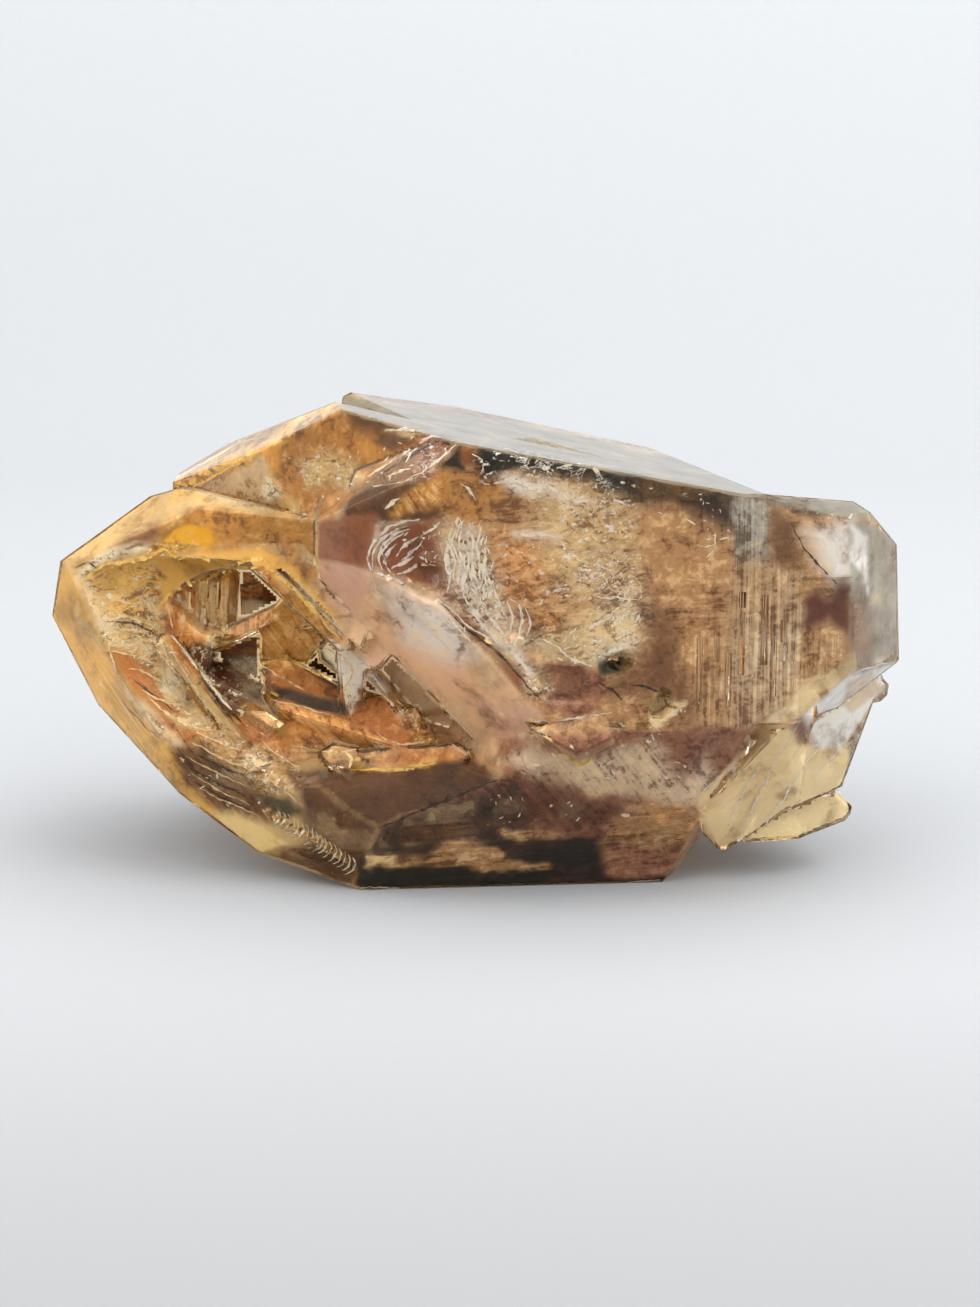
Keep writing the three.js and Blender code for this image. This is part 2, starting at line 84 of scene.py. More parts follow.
class Graph:
    """The node graph of a material or a world. Most methods add a node and return its output socket."""

    def __init__(self, owner):
        self.owner = owner
        self.tree = owner.node_tree

    def node(self, kind, inputs=None, **settings):
        made = self.tree.nodes.new("ShaderNode" + kind)
        for key, value in settings.items():
            setattr(made, key, value)
        for key, value in (inputs or {}).items():
            self.feed(made.inputs[key], value)
        return made

    def feed(self, socket, value):
        """Links a socket to a socket, or sets its plain value."""
        if isinstance(value, bpy.types.NodeSocket):
            self.tree.links.new(value, socket)
        elif socket.type == "RGBA" and len(value) == 3:
            socket.default_value = (*value, 1)
        else:
            socket.default_value = value

    def place(self):
        """The point's place in the row frame, in metres."""
        return self.node("TexCoord").outputs["Object"]

    def split(self, vector):
        """The three parts of a vector."""
        return self.node("SeparateXYZ", {0: vector}).outputs

    def attribute(self, name):
        return self.node("Attribute", attribute_name=name).outputs

    def math(self, operation, a, b=0.0):
        return self.node("Math", {0: a, 1: b}, operation=operation).outputs[0]

    def plus(self, a, b):
        return self.math("ADD", a, b)

    def minus(self, a, b):
        return self.math("SUBTRACT", a, b)

    def times(self, a, b):
        return self.math("MULTIPLY", a, b)

    def larger(self, a, b):
        return self.math("MAXIMUM", a, b)

    def vector(self, operation, a, b):
        return self.node("VectorMath", {0: a, 1: b}, operation=operation).outputs[0]

    def stretched(self, place, scale, turn=(0, 0, 0)):
        """The place turned by degrees, then stretched."""
        turned = self.node("Mapping", {"Vector": place, "Rotation": [math.radians(a) for a in turn]})
        return self.node("Mapping", {"Vector": turned.outputs[0], "Scale": scale}).outputs[0]

    def noise(self, place, scale=1.0, detail=4, roughness=0.55, distortion=0.0):
        made = self.node("TexNoise", {
            "Vector": place, "Scale": scale, "Detail": detail, "Roughness": roughness,
            "Distortion": distortion,
        })
        return made.outputs["Fac"]

    def ramp(self, value, low, high, to_low=0.0, to_high=1.0):
        """The value carried from low..high to to_low..to_high, smoothly and held at the ends."""
        made = self.node("MapRange", {
            "Value": value, "From Min": low, "From Max": high, "To Min": to_low, "To Max": to_high,
        }, interpolation_type="SMOOTHSTEP")
        return made.outputs[0]

    def mix(self, share, a, b):
        """A colour between a and b."""
        made = self.node("Mix", data_type="RGBA")
        self.feed(made.inputs[0], share)
        self.feed(made.inputs[6], a)
        self.feed(made.inputs[7], b)
        return made.outputs[2]

    def blob(self, place, middle, size, soft=0.5):
        """1 inside an ellipsoid at middle (mm) with half sizes size (mm), fading to 0 at its edge."""
        moved = self.vector("ADD", place, [-c * MM for c in middle])
        scaled = self.vector("MULTIPLY", moved, [1 / (s * MM) for s in size])
        reach = self.node("VectorMath", {0: scaled}, operation="LENGTH").outputs["Value"]
        return self.ramp(reach, 1.0, 1.0 - soft)

    def bump(self, height, strength=1.0, distance=1.0):
        return self.node("Bump", {"Height": height, "Strength": strength, "Distance": distance}).outputs[0]

    def finish(self, surface, volume=None):
        """Links the shaders to the material's output and returns the material."""
        output = self.node("OutputMaterial", {"Surface": surface})
        if volume is not None:
            self.feed(output.inputs["Volume"], volume)
        return self.owner


def material_graph(name):
    material = bpy.data.materials.new(name)
    material.use_nodes = True
    material.node_tree.nodes.clear()
    return Graph(material)


# ---- Places inside the quartz, found through the photograph's pixels ----

QUARTZ_IOR = 1.544
# How far beneath the surface every cloud and ribbon stays.
LEAST_DEPTH = 0.05 * MM
# The slanted ray that tells inside from outside by the number of faces that it crosses.
COUNTING_RAY = Vector((0.31, 0.23, 0.92)).normalized()
COUNTING_STEP = 0.001 * MM


def cad_surface():
    """The CAD cluster's surface, for finding places on it and beneath it."""
    work = bmesh.new()
    work.from_mesh(CAD_CLUSTER.data)
    tree = BVHTree.FromBMesh(work)
    work.free()
    return tree


SURFACE = cad_surface()


def photo_ray(pixel):
    """The direction in which the camera sees a pixel of the photograph."""
    across = (pixel[0] - PHOTO_SIZE[0] / 2) / FOCAL_PIXELS
    down = (pixel[1] - PHOTO_SIZE[1] / 2) / FOCAL_PIXELS
    return (LOOK + CAMERA_RIGHT * across - CAMERA_UP * down).normalized()


def refracted(ray, normal):
    """The direction of a ray once it has entered the quartz through a face."""
    ratio = 1 / QUARTZ_IOR
    cosine = -normal.dot(ray)
    return ratio * ray + (ratio * cosine - math.sqrt(1 - ratio * ratio * (1 - cosine * cosine))) * normal


def beneath(pixel, least_facing):
    """The face's place and normal at a pixel and the ray's direction beneath it, or None.

    It is None where the pixel misses the quartz or the face turns too far from the camera.
    """
    ray = photo_ray(pixel)
    place, normal, _, _ = SURFACE.ray_cast(CAMERA_PLACE, ray)
    if place is None or normal.dot(ray) > -least_facing:
        return None
    return place, normal, refracted(ray, normal)


def is_inside(place, margin):
    """Whether a place is in the quartz and at least margin below its surface."""
    if SURFACE.find_nearest(place)[3] < margin:
        return False
    crossings = 0
    start = place.copy()
    while True:
        hit = SURFACE.ray_cast(start, COUNTING_RAY)[0]
        if hit is None:
            return crossings % 2 == 1
        crossings += 1
        start = hit + COUNTING_RAY * COUNTING_STEP


def segment_gap(across, down, start, end):
    """How far each pixel lies from the straight line between two pixels."""
    run, fall = end[0] - start[0], end[1] - start[1]
    share = ((across - start[0]) * run + (down - start[1]) * fall) / (run ** 2 + fall ** 2)
    share = np.clip(share, 0, 1)
    return np.hypot(across - start[0] - share * run, down - start[1] - share * fall)


def line_gap(across, down, line):
    """How far each pixel lies from a line of pixels."""
    gaps = [segment_gap(across, down, start, end) for start, end in zip(line, line[1:])]
    return np.minimum.reduce(gaps)


def outline_gap(across, down, outline):
    """How far each pixel lies inside an outline, negative outside it."""
    inside = np.zeros(across.shape, bool)
    for (ax, ay), (bx, by) in zip(outline, outline[1:] + outline[:1]):
        if ay != by:
            inside ^= ((ay > down) != (by > down)) & (across < (bx - ax) * (down - ay) / (by - ay) + ax)
    nearest = line_gap(across, down, outline + outline[:1])
    return np.where(inside, nearest, -nearest)


def scattered(count, outline):
    """Random pixels: count are drawn from the box round an outline, and those inside it are given."""
    left, right = min(x for x, _ in outline), max(x for x, _ in outline)
    top, bottom = min(y for _, y in outline), max(y for _, y in outline)
    for _ in range(count):
        x, y = RANDOM.uniform(left, right), RANDOM.uniform(top, bottom)
        if outline_gap(np.array([x]), np.array([y]), outline)[0] >= 0:
            yield x, y


def add_piece(name, mesh, material):
    """An object that rides on the cluster's body and carries the given material."""
    mesh.materials.clear()
    mesh.materials.append(material)
    piece = add_object(name, mesh)
    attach(piece, "root")
    return piece


def add_sheets(name, vertices, faces, material):
    """A piece of flat sheets from places and the numbers of each sheet's corners."""
    mesh = bpy.data.meshes.new(name)
    mesh.from_pydata(vertices, [], faces)
    add_piece(name, mesh, material)


# ---- The quartz ----

SMOKE_COLOR = (0.86, 0.72, 0.52)
SMOKE_DENSITY = 48.0
GLOSS_TINT = (0.33, 0.26, 0.18)

CLEAR_GLASS = (0.98, 0.97, 0.95)
SMOKY_GLASS = (0.99, 0.90, 0.78)
GOLDEN_GLASS = (1.0, 0.90, 0.66)
AMBER_GLASS = (1.0, 0.85, 0.55)
PINK_GLASS = (1.0, 0.89, 0.82)

# The heights of the growth relief, and the middle of the scar's ripples in metres.
STRIAE_HEIGHT = 0.14 * MM
SCRATCH_HEIGHT = 0.06 * MM
RIPPLE_HEIGHT = 0.10 * MM
GRAIN_HEIGHT = 0.01 * MM
SWELL_HEIGHT = 0.03 * MM
FEATHER_HEIGHT = 0.30 * MM
RIPPLE_MIDDLE = (-0.0072, -0.026, 0.0455)

# Faces that turn less than this from each other become one. The rest is about the bevelled ridges.
FLAT_ANGLE = math.radians(0.6)
BEVEL_WIDTH = 0.1 * MM
BEVEL_LEAST_LENGTH = 2.5 * MM
BEVEL_LEAST_FACE_WIDTH = 1.2 * MM
BEVEL_LEAST_FOLD = math.radians(14)
BEVEL_CORNERS = (math.radians(25), math.radians(160))


def quartz_color(g, place):
    """Smoky, with gold at the left, amber in the hollow, pink at the shoulder and a clear right end."""
    wander = g.ramp(g.noise(place, 55, detail=3), 0.25, 0.75, -0.012, 0.012)
    across = g.plus(g.split(place)[0], wander)
    color = g.mix(g.ramp(across, 0.030, 0.046), SMOKY_GLASS, CLEAR_GLASS)
    color = g.mix(g.ramp(across, -0.004, -0.022), color, GOLDEN_GLASS)
    color = g.mix(g.blob(place, (-10, -22, 38), (16, 12, 20)), color, PINK_GLASS)
    return g.mix(g.blob(place, (-30, -6, 33), (17, 12, 13)), color, AMBER_GLASS)


def quartz_relief(g, place):
    """The height of the fine growth relief, in metres."""
    upright = g.noise(g.stretched(place, (1500, 10, 22)), roughness=0.6)
    on_front = g.blob(place, (36, -28, 40), (17, 8, 22), soft=0.6)
    striae = g.times(g.times(upright, STRIAE_HEIGHT), on_front)
    slanted = g.noise(g.stretched(place, (1500, 10, 30), turn=(0, 28, 0)), detail=3)
    on_lower = g.blob(place, (20, -26, 18), (26, 10, 11), soft=0.6)
    scratches = g.times(g.times(slanted, SCRATCH_HEIGHT), on_lower)
    ripple = g.node("TexWave", {
        "Vector": g.vector("SUBTRACT", place, RIPPLE_MIDDLE),
        "Scale": 95.0, "Distortion": 3.0, "Detail": 2.0, "Detail Scale": 2.0,
    }, wave_type="RINGS", rings_direction="SPHERICAL").outputs["Fac"]
    on_scar = g.blob(place, (-7, -26, 46), (11, 8, 12), soft=0.4)
    ripples = g.times(g.times(ripple, RIPPLE_HEIGHT), on_scar)
    grain = g.times(g.noise(place, 900, detail=3), GRAIN_HEIGHT)
    swell = g.times(g.noise(place, 130, detail=2), SWELL_HEIGHT)
    ridges = g.noise(g.stretched(place, (240, 240, 900), turn=(0, -48, 0)), detail=3, distortion=0.6)
    on_outer_wall = g.blob(place, (-45, -12, 26), (13, 14, 16))
    on_lower_wall = g.blob(place, (-28, -18, 14), (14, 12, 9))
    feathers = g.times(g.times(ridges, FEATHER_HEIGHT), g.larger(on_outer_wall, on_lower_wall))
    height = g.plus(g.plus(striae, scratches), g.plus(ripples, grain))
    return g.plus(height, g.plus(swell, feathers))


def quartz_material():
    g = material_graph("smoky_quartz")
    place = g.place()
    patches = g.ramp(g.noise(place, 140, detail=5), 0.4, 0.75, 0.01, 0.035)
    in_hollow = g.blob(place, (-28, -5, 31), (18, 12, 13))
    principled = g.node("BsdfPrincipled", {
        "Base Color": quartz_color(g, place),
        "Roughness": g.plus(patches, g.times(in_hollow, 0.03)),
        "IOR": QUARTZ_IOR,
        "Transmission Weight": 1.0,
        "Specular Tint": GLOSS_TINT,
        "Normal": g.bump(quartz_relief(g, place)),
    })
    volume = g.node("VolumeAbsorption", {"Color": SMOKE_COLOR, "Density": SMOKE_DENSITY})
    return g.finish(principled.outputs[0], volume.outputs[0])


def is_free_ridge(edge):
    """Whether an edge is a long outward ridge between wide faces, with room for a bevel at its ends."""
    length = edge.calc_length()
    if not edge.is_manifold or not edge.is_convex or length < BEVEL_LEAST_LENGTH:
        return False
    if any(face.calc_area() / length <= BEVEL_LEAST_FACE_WIDTH for face in edge.link_faces):
        return False
    corners = [loop.calc_angle() for side in edge.link_loops for loop in (side, side.link_loop_next)]
    narrowest, widest = BEVEL_CORNERS
    return min(corners) > narrowest and max(corners) < widest and edge.calc_face_angle() > BEVEL_LEAST_FOLD


def make_cluster():
    """The glass: the CAD surface, with its free ridges bevelled finely so that they catch the light."""
    mesh = CAD_CLUSTER.data.copy()
    mesh.name = "quartz_visual"
    work = bmesh.new()
    work.from_mesh(mesh)
    bmesh.ops.remove_doubles(work, verts=work.verts, dist=1e-6)
    bmesh.ops.dissolve_limit(work, angle_limit=FLAT_ANGLE, verts=work.verts, edges=work.edges)
    ridges = [edge for edge in work.edges if is_free_ridge(edge)]
    bmesh.ops.bevel(work, geom=ridges, offset=BEVEL_WIDTH, segments=1, affect="EDGES", clamp_overlap=False)
    work.to_mesh(mesh)
    work.free()
    mesh.shade_flat()
    cluster = add_piece("quartz_visual", mesh, quartz_material())
    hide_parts("quartz_cluster")


# ---- The clouds of fine inclusions just beneath the faces ----


def tint(red, green, blue):
    """A linear colour from screen values of 0 to 255."""
    return tuple(((c / 255 + 0.055) / 1.055) ** 2.4 for c in (red, green, blue))


CREAM = tint(250, 229, 182)
WHITE = tint(253, 252, 249)
PALE_GOLD = tint(248, 204, 118)
GOLD = tint(208, 152, 76)
YELLOW = tint(232, 178, 18)
ORANGE = tint(240, 178, 112)
AMBER = tint(190, 122, 60)
RUST = tint(148, 88, 48)
BROWN = tint(124, 84, 56)
UMBER = tint(50, 24, 12)
NEAR_BLACK = tint(10, 8, 7)
WINE = tint(102, 54, 38)
MAUVE = tint(162, 112, 88)
PINK = tint(250, 214, 176)
LILAC = tint(234, 198, 176)
BEIGE = tint(222, 193, 146)
TAN = tint(193, 152, 108)
PEARL = tint(230, 212, 191)
GREY = tint(180, 176, 164)
SLATE = tint(92, 82, 66)
HONEY = tint(190, 134, 70)
FAWN = tint(198, 170, 138)
OLIVE = tint(88, 52, 24)
TAUPE = tint(140, 136, 120)

# Each cloud: what it is, its colour, how much it covers, the softness of its edge in pixels, its grain
# and its outline in the photograph's pixels. Later clouds lie over earlier ones.
CLOUDS = [
    ("left crystal", BEIGE, 0.75, 6, "plain",
     [(45, 560), (172, 490), (200, 500), (322, 515), (318, 545), (345, 620), (400, 700), (500, 775),
      (377, 832), (352, 892), (230, 850), (105, 715), (45, 620)]),
    ("ridge above the hollow", BEIGE, 0.9, 4, "plain",
     [(45, 562), (50, 556), (150, 490), (172, 490), (200, 500), (196, 508), (165, 526), (120, 545),
      (90, 562), (74, 572)]),
    ("violet facet under the ridge", MAUVE, 0.8, 5, "plain",
     [(106, 549), (158, 521), (166, 530), (150, 541), (126, 545)]),
    ("golden facet above the hollow", GOLD, 0.8, 6, "mottled",
     [(160, 524), (200, 506), (322, 520), (316, 550), (350, 625), (300, 580), (230, 560), (165, 562)]),
    ("cream film", WHITE, 0.85, 4, "crackle",
     [(74, 576), (98, 556), (140, 541), (152, 547), (122, 558), (88, 574)]),
    ("yellow spot", YELLOW, 1.0, 5, "plain",
     [(160, 544), (172, 530), (188, 524), (208, 528), (216, 541), (206, 549), (184, 546)]),
    ("yellow trail", YELLOW, 0.9, 4, "crackle",
     [(140, 555), (158, 540), (178, 540), (200, 548), (180, 553), (160, 562)]),
    ("golden band round the mouth", PALE_GOLD, 1.0, 5, "plain",
     [(90, 578), (130, 562), (200, 552), (262, 548), (292, 566), (325, 604), (352, 645), (285, 583),
      (235, 562), (175, 588), (158, 612), (165, 580), (120, 566)]),
    ("outer wall", PALE_GOLD, 0.9, 6, "crackle",
     [(84, 584), (110, 566), (150, 560), (166, 580), (158, 602), (130, 640), (104, 640), (94, 610)]),
    ("ridged wall", BEIGE, 0.8, 7, "crackle",
     [(96, 622), (130, 612), (162, 612), (172, 640), (197, 700), (235, 738), (190, 735), (150, 692),
      (112, 650)]),
    ("fractured edge", AMBER, 0.85, 5, "slanted",
     [(98, 650), (110, 654), (122, 682), (146, 708), (182, 728), (215, 730), (205, 742), (165, 744),
      (130, 712)]),
    ("amber wedge", AMBER, 0.97, 3, "plain",
     [(112, 648), (128, 652), (148, 668), (166, 698), (186, 716), (160, 713), (134, 696), (118, 673)]),
    ("fawn pocket", FAWN, 0.85, 5, "mottled",
     [(156, 650), (172, 650), (196, 706), (208, 726), (188, 716), (168, 692)]),
    ("glint in the pocket", WHITE, 1.0, 4, "crackle",
     [(158, 668), (170, 664), (178, 682), (176, 694), (166, 690)]),
    ("tip facet", PALE_GOLD, 0.7, 5, "plain", [(46, 565), (80, 576), (92, 622), (46, 622)]),
    ("golden outer edge", PALE_GOLD, 0.9, 6, "plain",
     [(45, 620), (80, 622), (110, 662), (168, 745), (245, 852), (105, 716)]),
    ("feathery brown", BROWN, 0.9, 7, "slanted",
     [(165, 748), (200, 742), (265, 800), (292, 816), (262, 824), (210, 806), (182, 782)]),
    ("hazy middle", TAN, 0.8, 10, "crackle",
     [(200, 737), (262, 737), (300, 762), (312, 790), (265, 792), (220, 762)]),
    ("slate tip", SLATE, 0.9, 4, "mottled", [(256, 796), (286, 796), (304, 814), (284, 816), (266, 808)]),
    ("cream foot", CREAM, 0.95, 6, "plain",
     [(208, 816), (230, 812), (262, 824), (296, 846), (262, 858), (228, 848)]),
    ("brown foot", OLIVE, 0.85, 7, "plain", [(290, 768), (377, 830), (352, 892), (262, 862), (310, 838)]),
    ("hollow", AMBER, 0.97, 5, "mottled",
     [(158, 610), (178, 588), (235, 568), (265, 568), (350, 640), (400, 700), (500, 768), (440, 765),
      (300, 762), (240, 732), (165, 640)]),
    ("ribbed cell", ORANGE, 0.9, 4, "upright",
     [(160, 602), (178, 590), (232, 580), (272, 610), (265, 627), (215, 645), (190, 636)]),
    ("nodules over the ribbed cell", ORANGE, 0.95, 4, "crackle",
     [(238, 577), (268, 572), (264, 592), (248, 600)]),
    ("golden blade", GOLD, 0.9, 5, "slanted",
     [(262, 642), (275, 606), (290, 594), (340, 630), (300, 666), (268, 672)]),
    ("violet-brown wall", WINE, 0.9, 5, "crackle",
     [(185, 642), (215, 646), (265, 660), (276, 690), (240, 715), (225, 716), (204, 682)]),
    ("golden panel", GOLD, 0.8, 5, "plain", [(240, 702), (275, 700), (292, 742), (250, 722)]),
    ("umber corner", UMBER, 0.95, 3, "plain", [(305, 667), (325, 645), (346, 692), (325, 682)]),
    ("dark slab", UMBER, 0.97, 3, "plain", [(275, 685), (345, 702), (350, 716), (302, 706), (275, 697)]),
    ("orange mass", ORANGE, 0.97, 5, "slanted",
     [(275, 702), (340, 718), (395, 742), (330, 746), (292, 732)]),
    ("tan streaks", TAN, 0.95, 6, "level", [(290, 744), (400, 747), (350, 764), (292, 760)]),
    ("speckled gold", GOLD, 0.97, 6, "crackle",
     [(395, 692), (445, 702), (482, 742), (430, 752), (400, 722)]),
    ("long golden blade", PALE_GOLD, 0.9, 4, "slanted",
     [(288, 582), (355, 642), (400, 692), (442, 732), (395, 692), (340, 644)]),
    ("white shard", WHITE, 0.97, 3, "crackle",
     [(318, 646), (328, 641), (352, 650), (372, 662), (393, 687), (388, 692), (364, 676), (362, 698),
      (352, 714), (344, 690), (334, 668)]),
    ("lens", OLIVE, 1.0, 3, "mottled",
     [(300, 774), (350, 770), (435, 763), (470, 756), (497, 782), (377, 829)]),
    ("brown light in the lens", BROWN, 0.97, 16, "plain",
     [(306, 778), (350, 776), (400, 774), (385, 786), (350, 790), (322, 786)]),
    ("yellow rim of the lens", YELLOW, 0.85, 2, "plain",
     [(345, 767), (395, 767), (436, 761), (430, 766), (390, 771), (352, 771)]),
    ("left edge of the upper crystal", PALE_GOLD, 0.9, 4, "level",
     [(168, 502), (178, 480), (262, 440), (340, 394), (347, 410), (262, 450), (200, 482)]),
    ("pearly upper window", PEARL, 0.6, 4, "mottled", [(195, 490), (262, 456), (286, 502), (240, 500)]),
    ("white corner of the window", WHITE, 0.9, 4, "crackle",
     [(262, 478), (275, 480), (284, 500), (262, 498)]),
    ("golden seam", GOLD, 1.0, 5, "plain", [(258, 446), (280, 440), (284, 470), (292, 508), (270, 474)]),
    ("upper crystal", HONEY, 0.9, 5, "mottled",
     [(282, 440), (342, 408), (400, 426), (450, 440), (370, 482), (325, 522), (298, 516), (286, 490)]),
    ("pale cloud", BEIGE, 0.92, 8, "crackle",
     [(300, 460), (330, 450), (352, 462), (362, 480), (345, 492), (322, 484), (306, 490)]),
    ("brown shade at the apex", OLIVE, 1.0, 10, "plain", [(342, 410), (402, 424), (400, 434), (350, 430)]),
    ("gold flake", GOLD, 0.9, 3, "plain", [(355, 442), (378, 438), (386, 466), (360, 456)]),
    ("violet flake", BROWN, 0.9, 3, "plain", [(370, 441), (400, 426), (412, 440), (392, 452)]),
    ("cream flake", CREAM, 0.95, 3, "plain", [(385, 430), (425, 430), (410, 439)]),
    ("rod", MAUVE, 0.7, 4, "crackle", [(360, 482), (440, 430), (462, 440), (420, 477), (385, 488)]),
    ("front face", TAN, 0.95, 6, "level",
     [(455, 440), (640, 475), (765, 497), (900, 520), (900, 645), (850, 682), (790, 735), (700, 735),
      (540, 738), (500, 692), (440, 602), (440, 500)]),
    ("brown by the rod", OLIVE, 1.0, 5, "mottled",
     [(340, 507), (360, 486), (440, 478), (440, 520), (400, 522), (345, 522)]),
    ("golden wedge", GOLD, 0.95, 5, "slanted",
     [(384, 507), (424, 481), (455, 468), (462, 484), (450, 501), (390, 517)]),
    ("russet patch", GOLD, 0.9, 16, "mottled",
     [(440, 472), (475, 478), (505, 485), (480, 522), (446, 518)]),
    ("black corner", NEAR_BLACK, 1.0, 3, "plain", [(438, 468), (462, 441), (466, 472), (450, 468)]),
    ("orange spot", RUST, 0.95, 3, "plain", [(460, 450), (475, 447), (476, 466), (462, 466)]),
    # A near-black band under the top edge.
    ("black band under the top edge", NEAR_BLACK, 0.95, 9, "crackle",
     [(476, 440), (560, 455), (600, 466), (645, 475), (645, 505), (600, 495), (560, 480), (520, 472),
      (480, 480)]),
    ("glitter under the top edge", WHITE, 0.85, 5, "crackle",
     [(504, 478), (530, 481), (560, 490), (590, 500), (622, 506), (618, 514), (580, 507), (540, 497),
      (510, 488)]),
    ("fractured middle", BEIGE, 0.9, 24, "crackle", [(540, 485), (640, 505), (645, 600), (540, 602)]),
    ("dark right of the top", UMBER, 0.95, 14, "upright",
     [(600, 466), (700, 486), (750, 495), (736, 535), (700, 522), (640, 502)]),
    ("black right of the top", NEAR_BLACK, 0.85, 9, "upright",
     [(596, 467), (650, 477), (700, 487), (735, 494), (734, 508), (700, 502), (650, 494), (602, 484)]),
    ("grey column", GREY, 0.9, 4, "upright", [(735, 498), (771, 500), (773, 585), (738, 572)]),
    ("dim column", BROWN, 0.8, 12, "mottled", [(771, 502), (800, 520), (803, 572), (772, 566)]),
    ("haze round the window", TAN, 0.97, 8, "mottled",
     [(786, 510), (851, 516), (850, 585), (836, 585), (802, 548)]),
    ("pearly window", WHITE, 0.92, 16, "plain",
     [(806, 530), (852, 524), (850, 584), (838, 584), (820, 560)]),
    ("dim top of the window", SLATE, 0.8, 4, "crackle", [(776, 502), (851, 510), (851, 516), (800, 512)]),
    ("wine patch", WINE, 1.0, 7, "plain",
     [(803, 598), (815, 592), (828, 600), (838, 586), (851, 584), (851, 630), (838, 632), (826, 620),
      (812, 630), (803, 624)]),
    ("tan under the patch", TAN, 0.97, 10, "upright", [(803, 630), (850, 634), (850, 668), (803, 680)]),
    ("end faces", GREY, 0.8, 3, "plain", [(851, 515), (905, 540), (905, 650), (851, 674)]),
    ("brown haze in the end", BROWN, 0.5, 16, "plain",
     [(851, 600), (868, 596), (872, 640), (866, 662), (851, 668)]),
    ("light column at the end", WHITE, 0.9, 3, "plain",
     [(851, 520), (869, 537), (869, 594), (860, 570), (851, 560)]),
    ("cream corner", CREAM, 0.65, 8, "plain",
     [(745, 735), (800, 688), (850, 658), (853, 672), (802, 716), (775, 735)]),
    ("orange veil", ORANGE, 0.75, 20, "crackle",
     [(495, 540), (530, 548), (545, 575), (538, 600), (515, 596), (500, 580), (482, 560)]),
    ("second orange veil", ORANGE, 0.8, 9, "crackle", [(535, 602), (560, 600), (556, 630), (540, 642)]),
    ("shaded step", BROWN, 1.0, 4, "crackle",
     [(484, 628), (500, 634), (548, 624), (552, 640), (520, 650), (488, 648)]),
    ("brushed glitter", CREAM, 0.75, 16, "crackle",
     [(540, 640), (640, 588), (645, 640), (602, 672), (558, 668)]),
    ("brown below the glitter", BROWN, 0.97, 26, "mottled",
     [(655, 580), (682, 640), (704, 702), (690, 728), (660, 702), (602, 692), (640, 642)]),
    ("warm veil", TAN, 0.95, 18, "mottled", [(640, 505), (722, 530), (722, 575), (662, 602), (642, 562)]),
    ("scar", RUST, 0.95, 5, "plain",
     [(370, 562), (390, 527), (440, 518), (444, 575), (460, 600), (430, 586), (380, 572)]),
    ("pearly streaks beside the scar", PEARL, 0.9, 14, "crackle",
     [(442, 522), (482, 532), (502, 600), (532, 642), (520, 662), (470, 612), (442, 576)]),
    ("mauve facet", MAUVE, 0.95, 4, "plain", [(315, 520), (376, 515), (371, 572), (315, 560)]),
    ("red band", RUST, 0.95, 8, "plain", [(345, 520), (372, 516), (368, 568), (345, 566)]),
    ("lilac facet", LILAC, 0.95, 4, "plain", [(315, 560), (371, 572), (377, 602), (355, 622), (325, 602)]),
    ("shoulder", PINK, 0.85, 3, "plain",
     [(375, 574), (440, 602), (545, 722), (510, 742), (480, 765), (345, 642), (355, 615)]),
    ("white haze of the shoulder", WHITE, 0.85, 16, "mottled",
     [(380, 585), (445, 605), (480, 660), (440, 662), (400, 640)]),
    ("foot of the shoulder", LILAC, 0.8, 8, "plain", [(470, 702), (530, 705), (545, 718), (500, 745)]),
    ("groove beside the shoulder", RUST, 0.8, 4, "plain", [(443, 604), (470, 622), (548, 702), (520, 692)]),
    ("mauve step", MAUVE, 0.95, 5, "mottled", [(545, 662), (602, 672), (602, 722), (560, 716), (530, 692)]),
    ("fawn chip", FAWN, 0.97, 4, "crackle", [(520, 667), (545, 672), (556, 686), (545, 702), (524, 692)]),
    ("dark hole", NEAR_BLACK, 1.0, 3, "plain", [(597, 662), (622, 655), (620, 673), (600, 676)]),
    ("bright chip", CREAM, 1.0, 3, "crackle",
     [(658, 692), (685, 706), (660, 722), (652, 742), (640, 746), (650, 716)]),
    ("ledge", TAN, 0.95, 4, "mottled", [(524, 722), (620, 712), (632, 716), (600, 746), (545, 737)]),
    ("stained underside of the ledge", TAN, 0.97, 2, "crackle",
     [(545, 738), (560, 735), (580, 748), (612, 726), (628, 722), (630, 740), (604, 750), (578, 765)]),
    ("grey heart of the columns", TAUPE, 0.97, 10, "upright",
     [(742, 590), (792, 590), (800, 640), (780, 700), (742, 728), (728, 700)]),
    ("pale right columns", FAWN, 0.97, 8, "upright",
     [(735, 560), (800, 570), (800, 690), (745, 732), (725, 732)]),
    ("tan column", TAN, 0.97, 10, "upright", [(684, 640), (725, 630), (735, 733), (698, 732)]),
    ("lower crystal", MAUVE, 0.95, 5, "mottled",
     [(500, 738), (700, 728), (765, 733), (700, 812), (668, 892), (357, 894), (378, 829), (497, 782)]),
    ("slanted striae", PEARL, 0.8, 8, "slanted",
     [(530, 742), (575, 766), (640, 742), (702, 750), (722, 790), (692, 812), (640, 802), (540, 782),
      (505, 762)]),
    ("smoky shoulder of the lower crystal", MAUVE, 0.9, 12, "mottled",
     [(660, 734), (765, 731), (712, 750), (682, 782), (665, 762)]),
    ("violet band", WINE, 0.92, 14, "slanted",
     [(470, 792), (500, 784), (545, 784), (600, 800), (636, 806), (632, 826), (590, 828), (540, 824),
      (500, 822), (478, 808)]),
    ("umber in the violet band", UMBER, 0.85, 12, "slanted",
     [(440, 806), (490, 798), (540, 812), (520, 828), (460, 824)]),
    ("brown band", UMBER, 0.95, 4, "plain",
     [(380, 832), (440, 814), (460, 822), (440, 842), (426, 857), (366, 853)]),
    ("russet above the foot", UMBER, 0.85, 10, "slanted",
     [(382, 828), (440, 808), (500, 826), (560, 838), (640, 838), (640, 848), (446, 846), (380, 846)]),
    # The dark layers at the foot are the quartz's own smoky layers and partly painted shade that darkens the
    # bottom.
    ("layered foot", UMBER, 1.0, 3, "level",
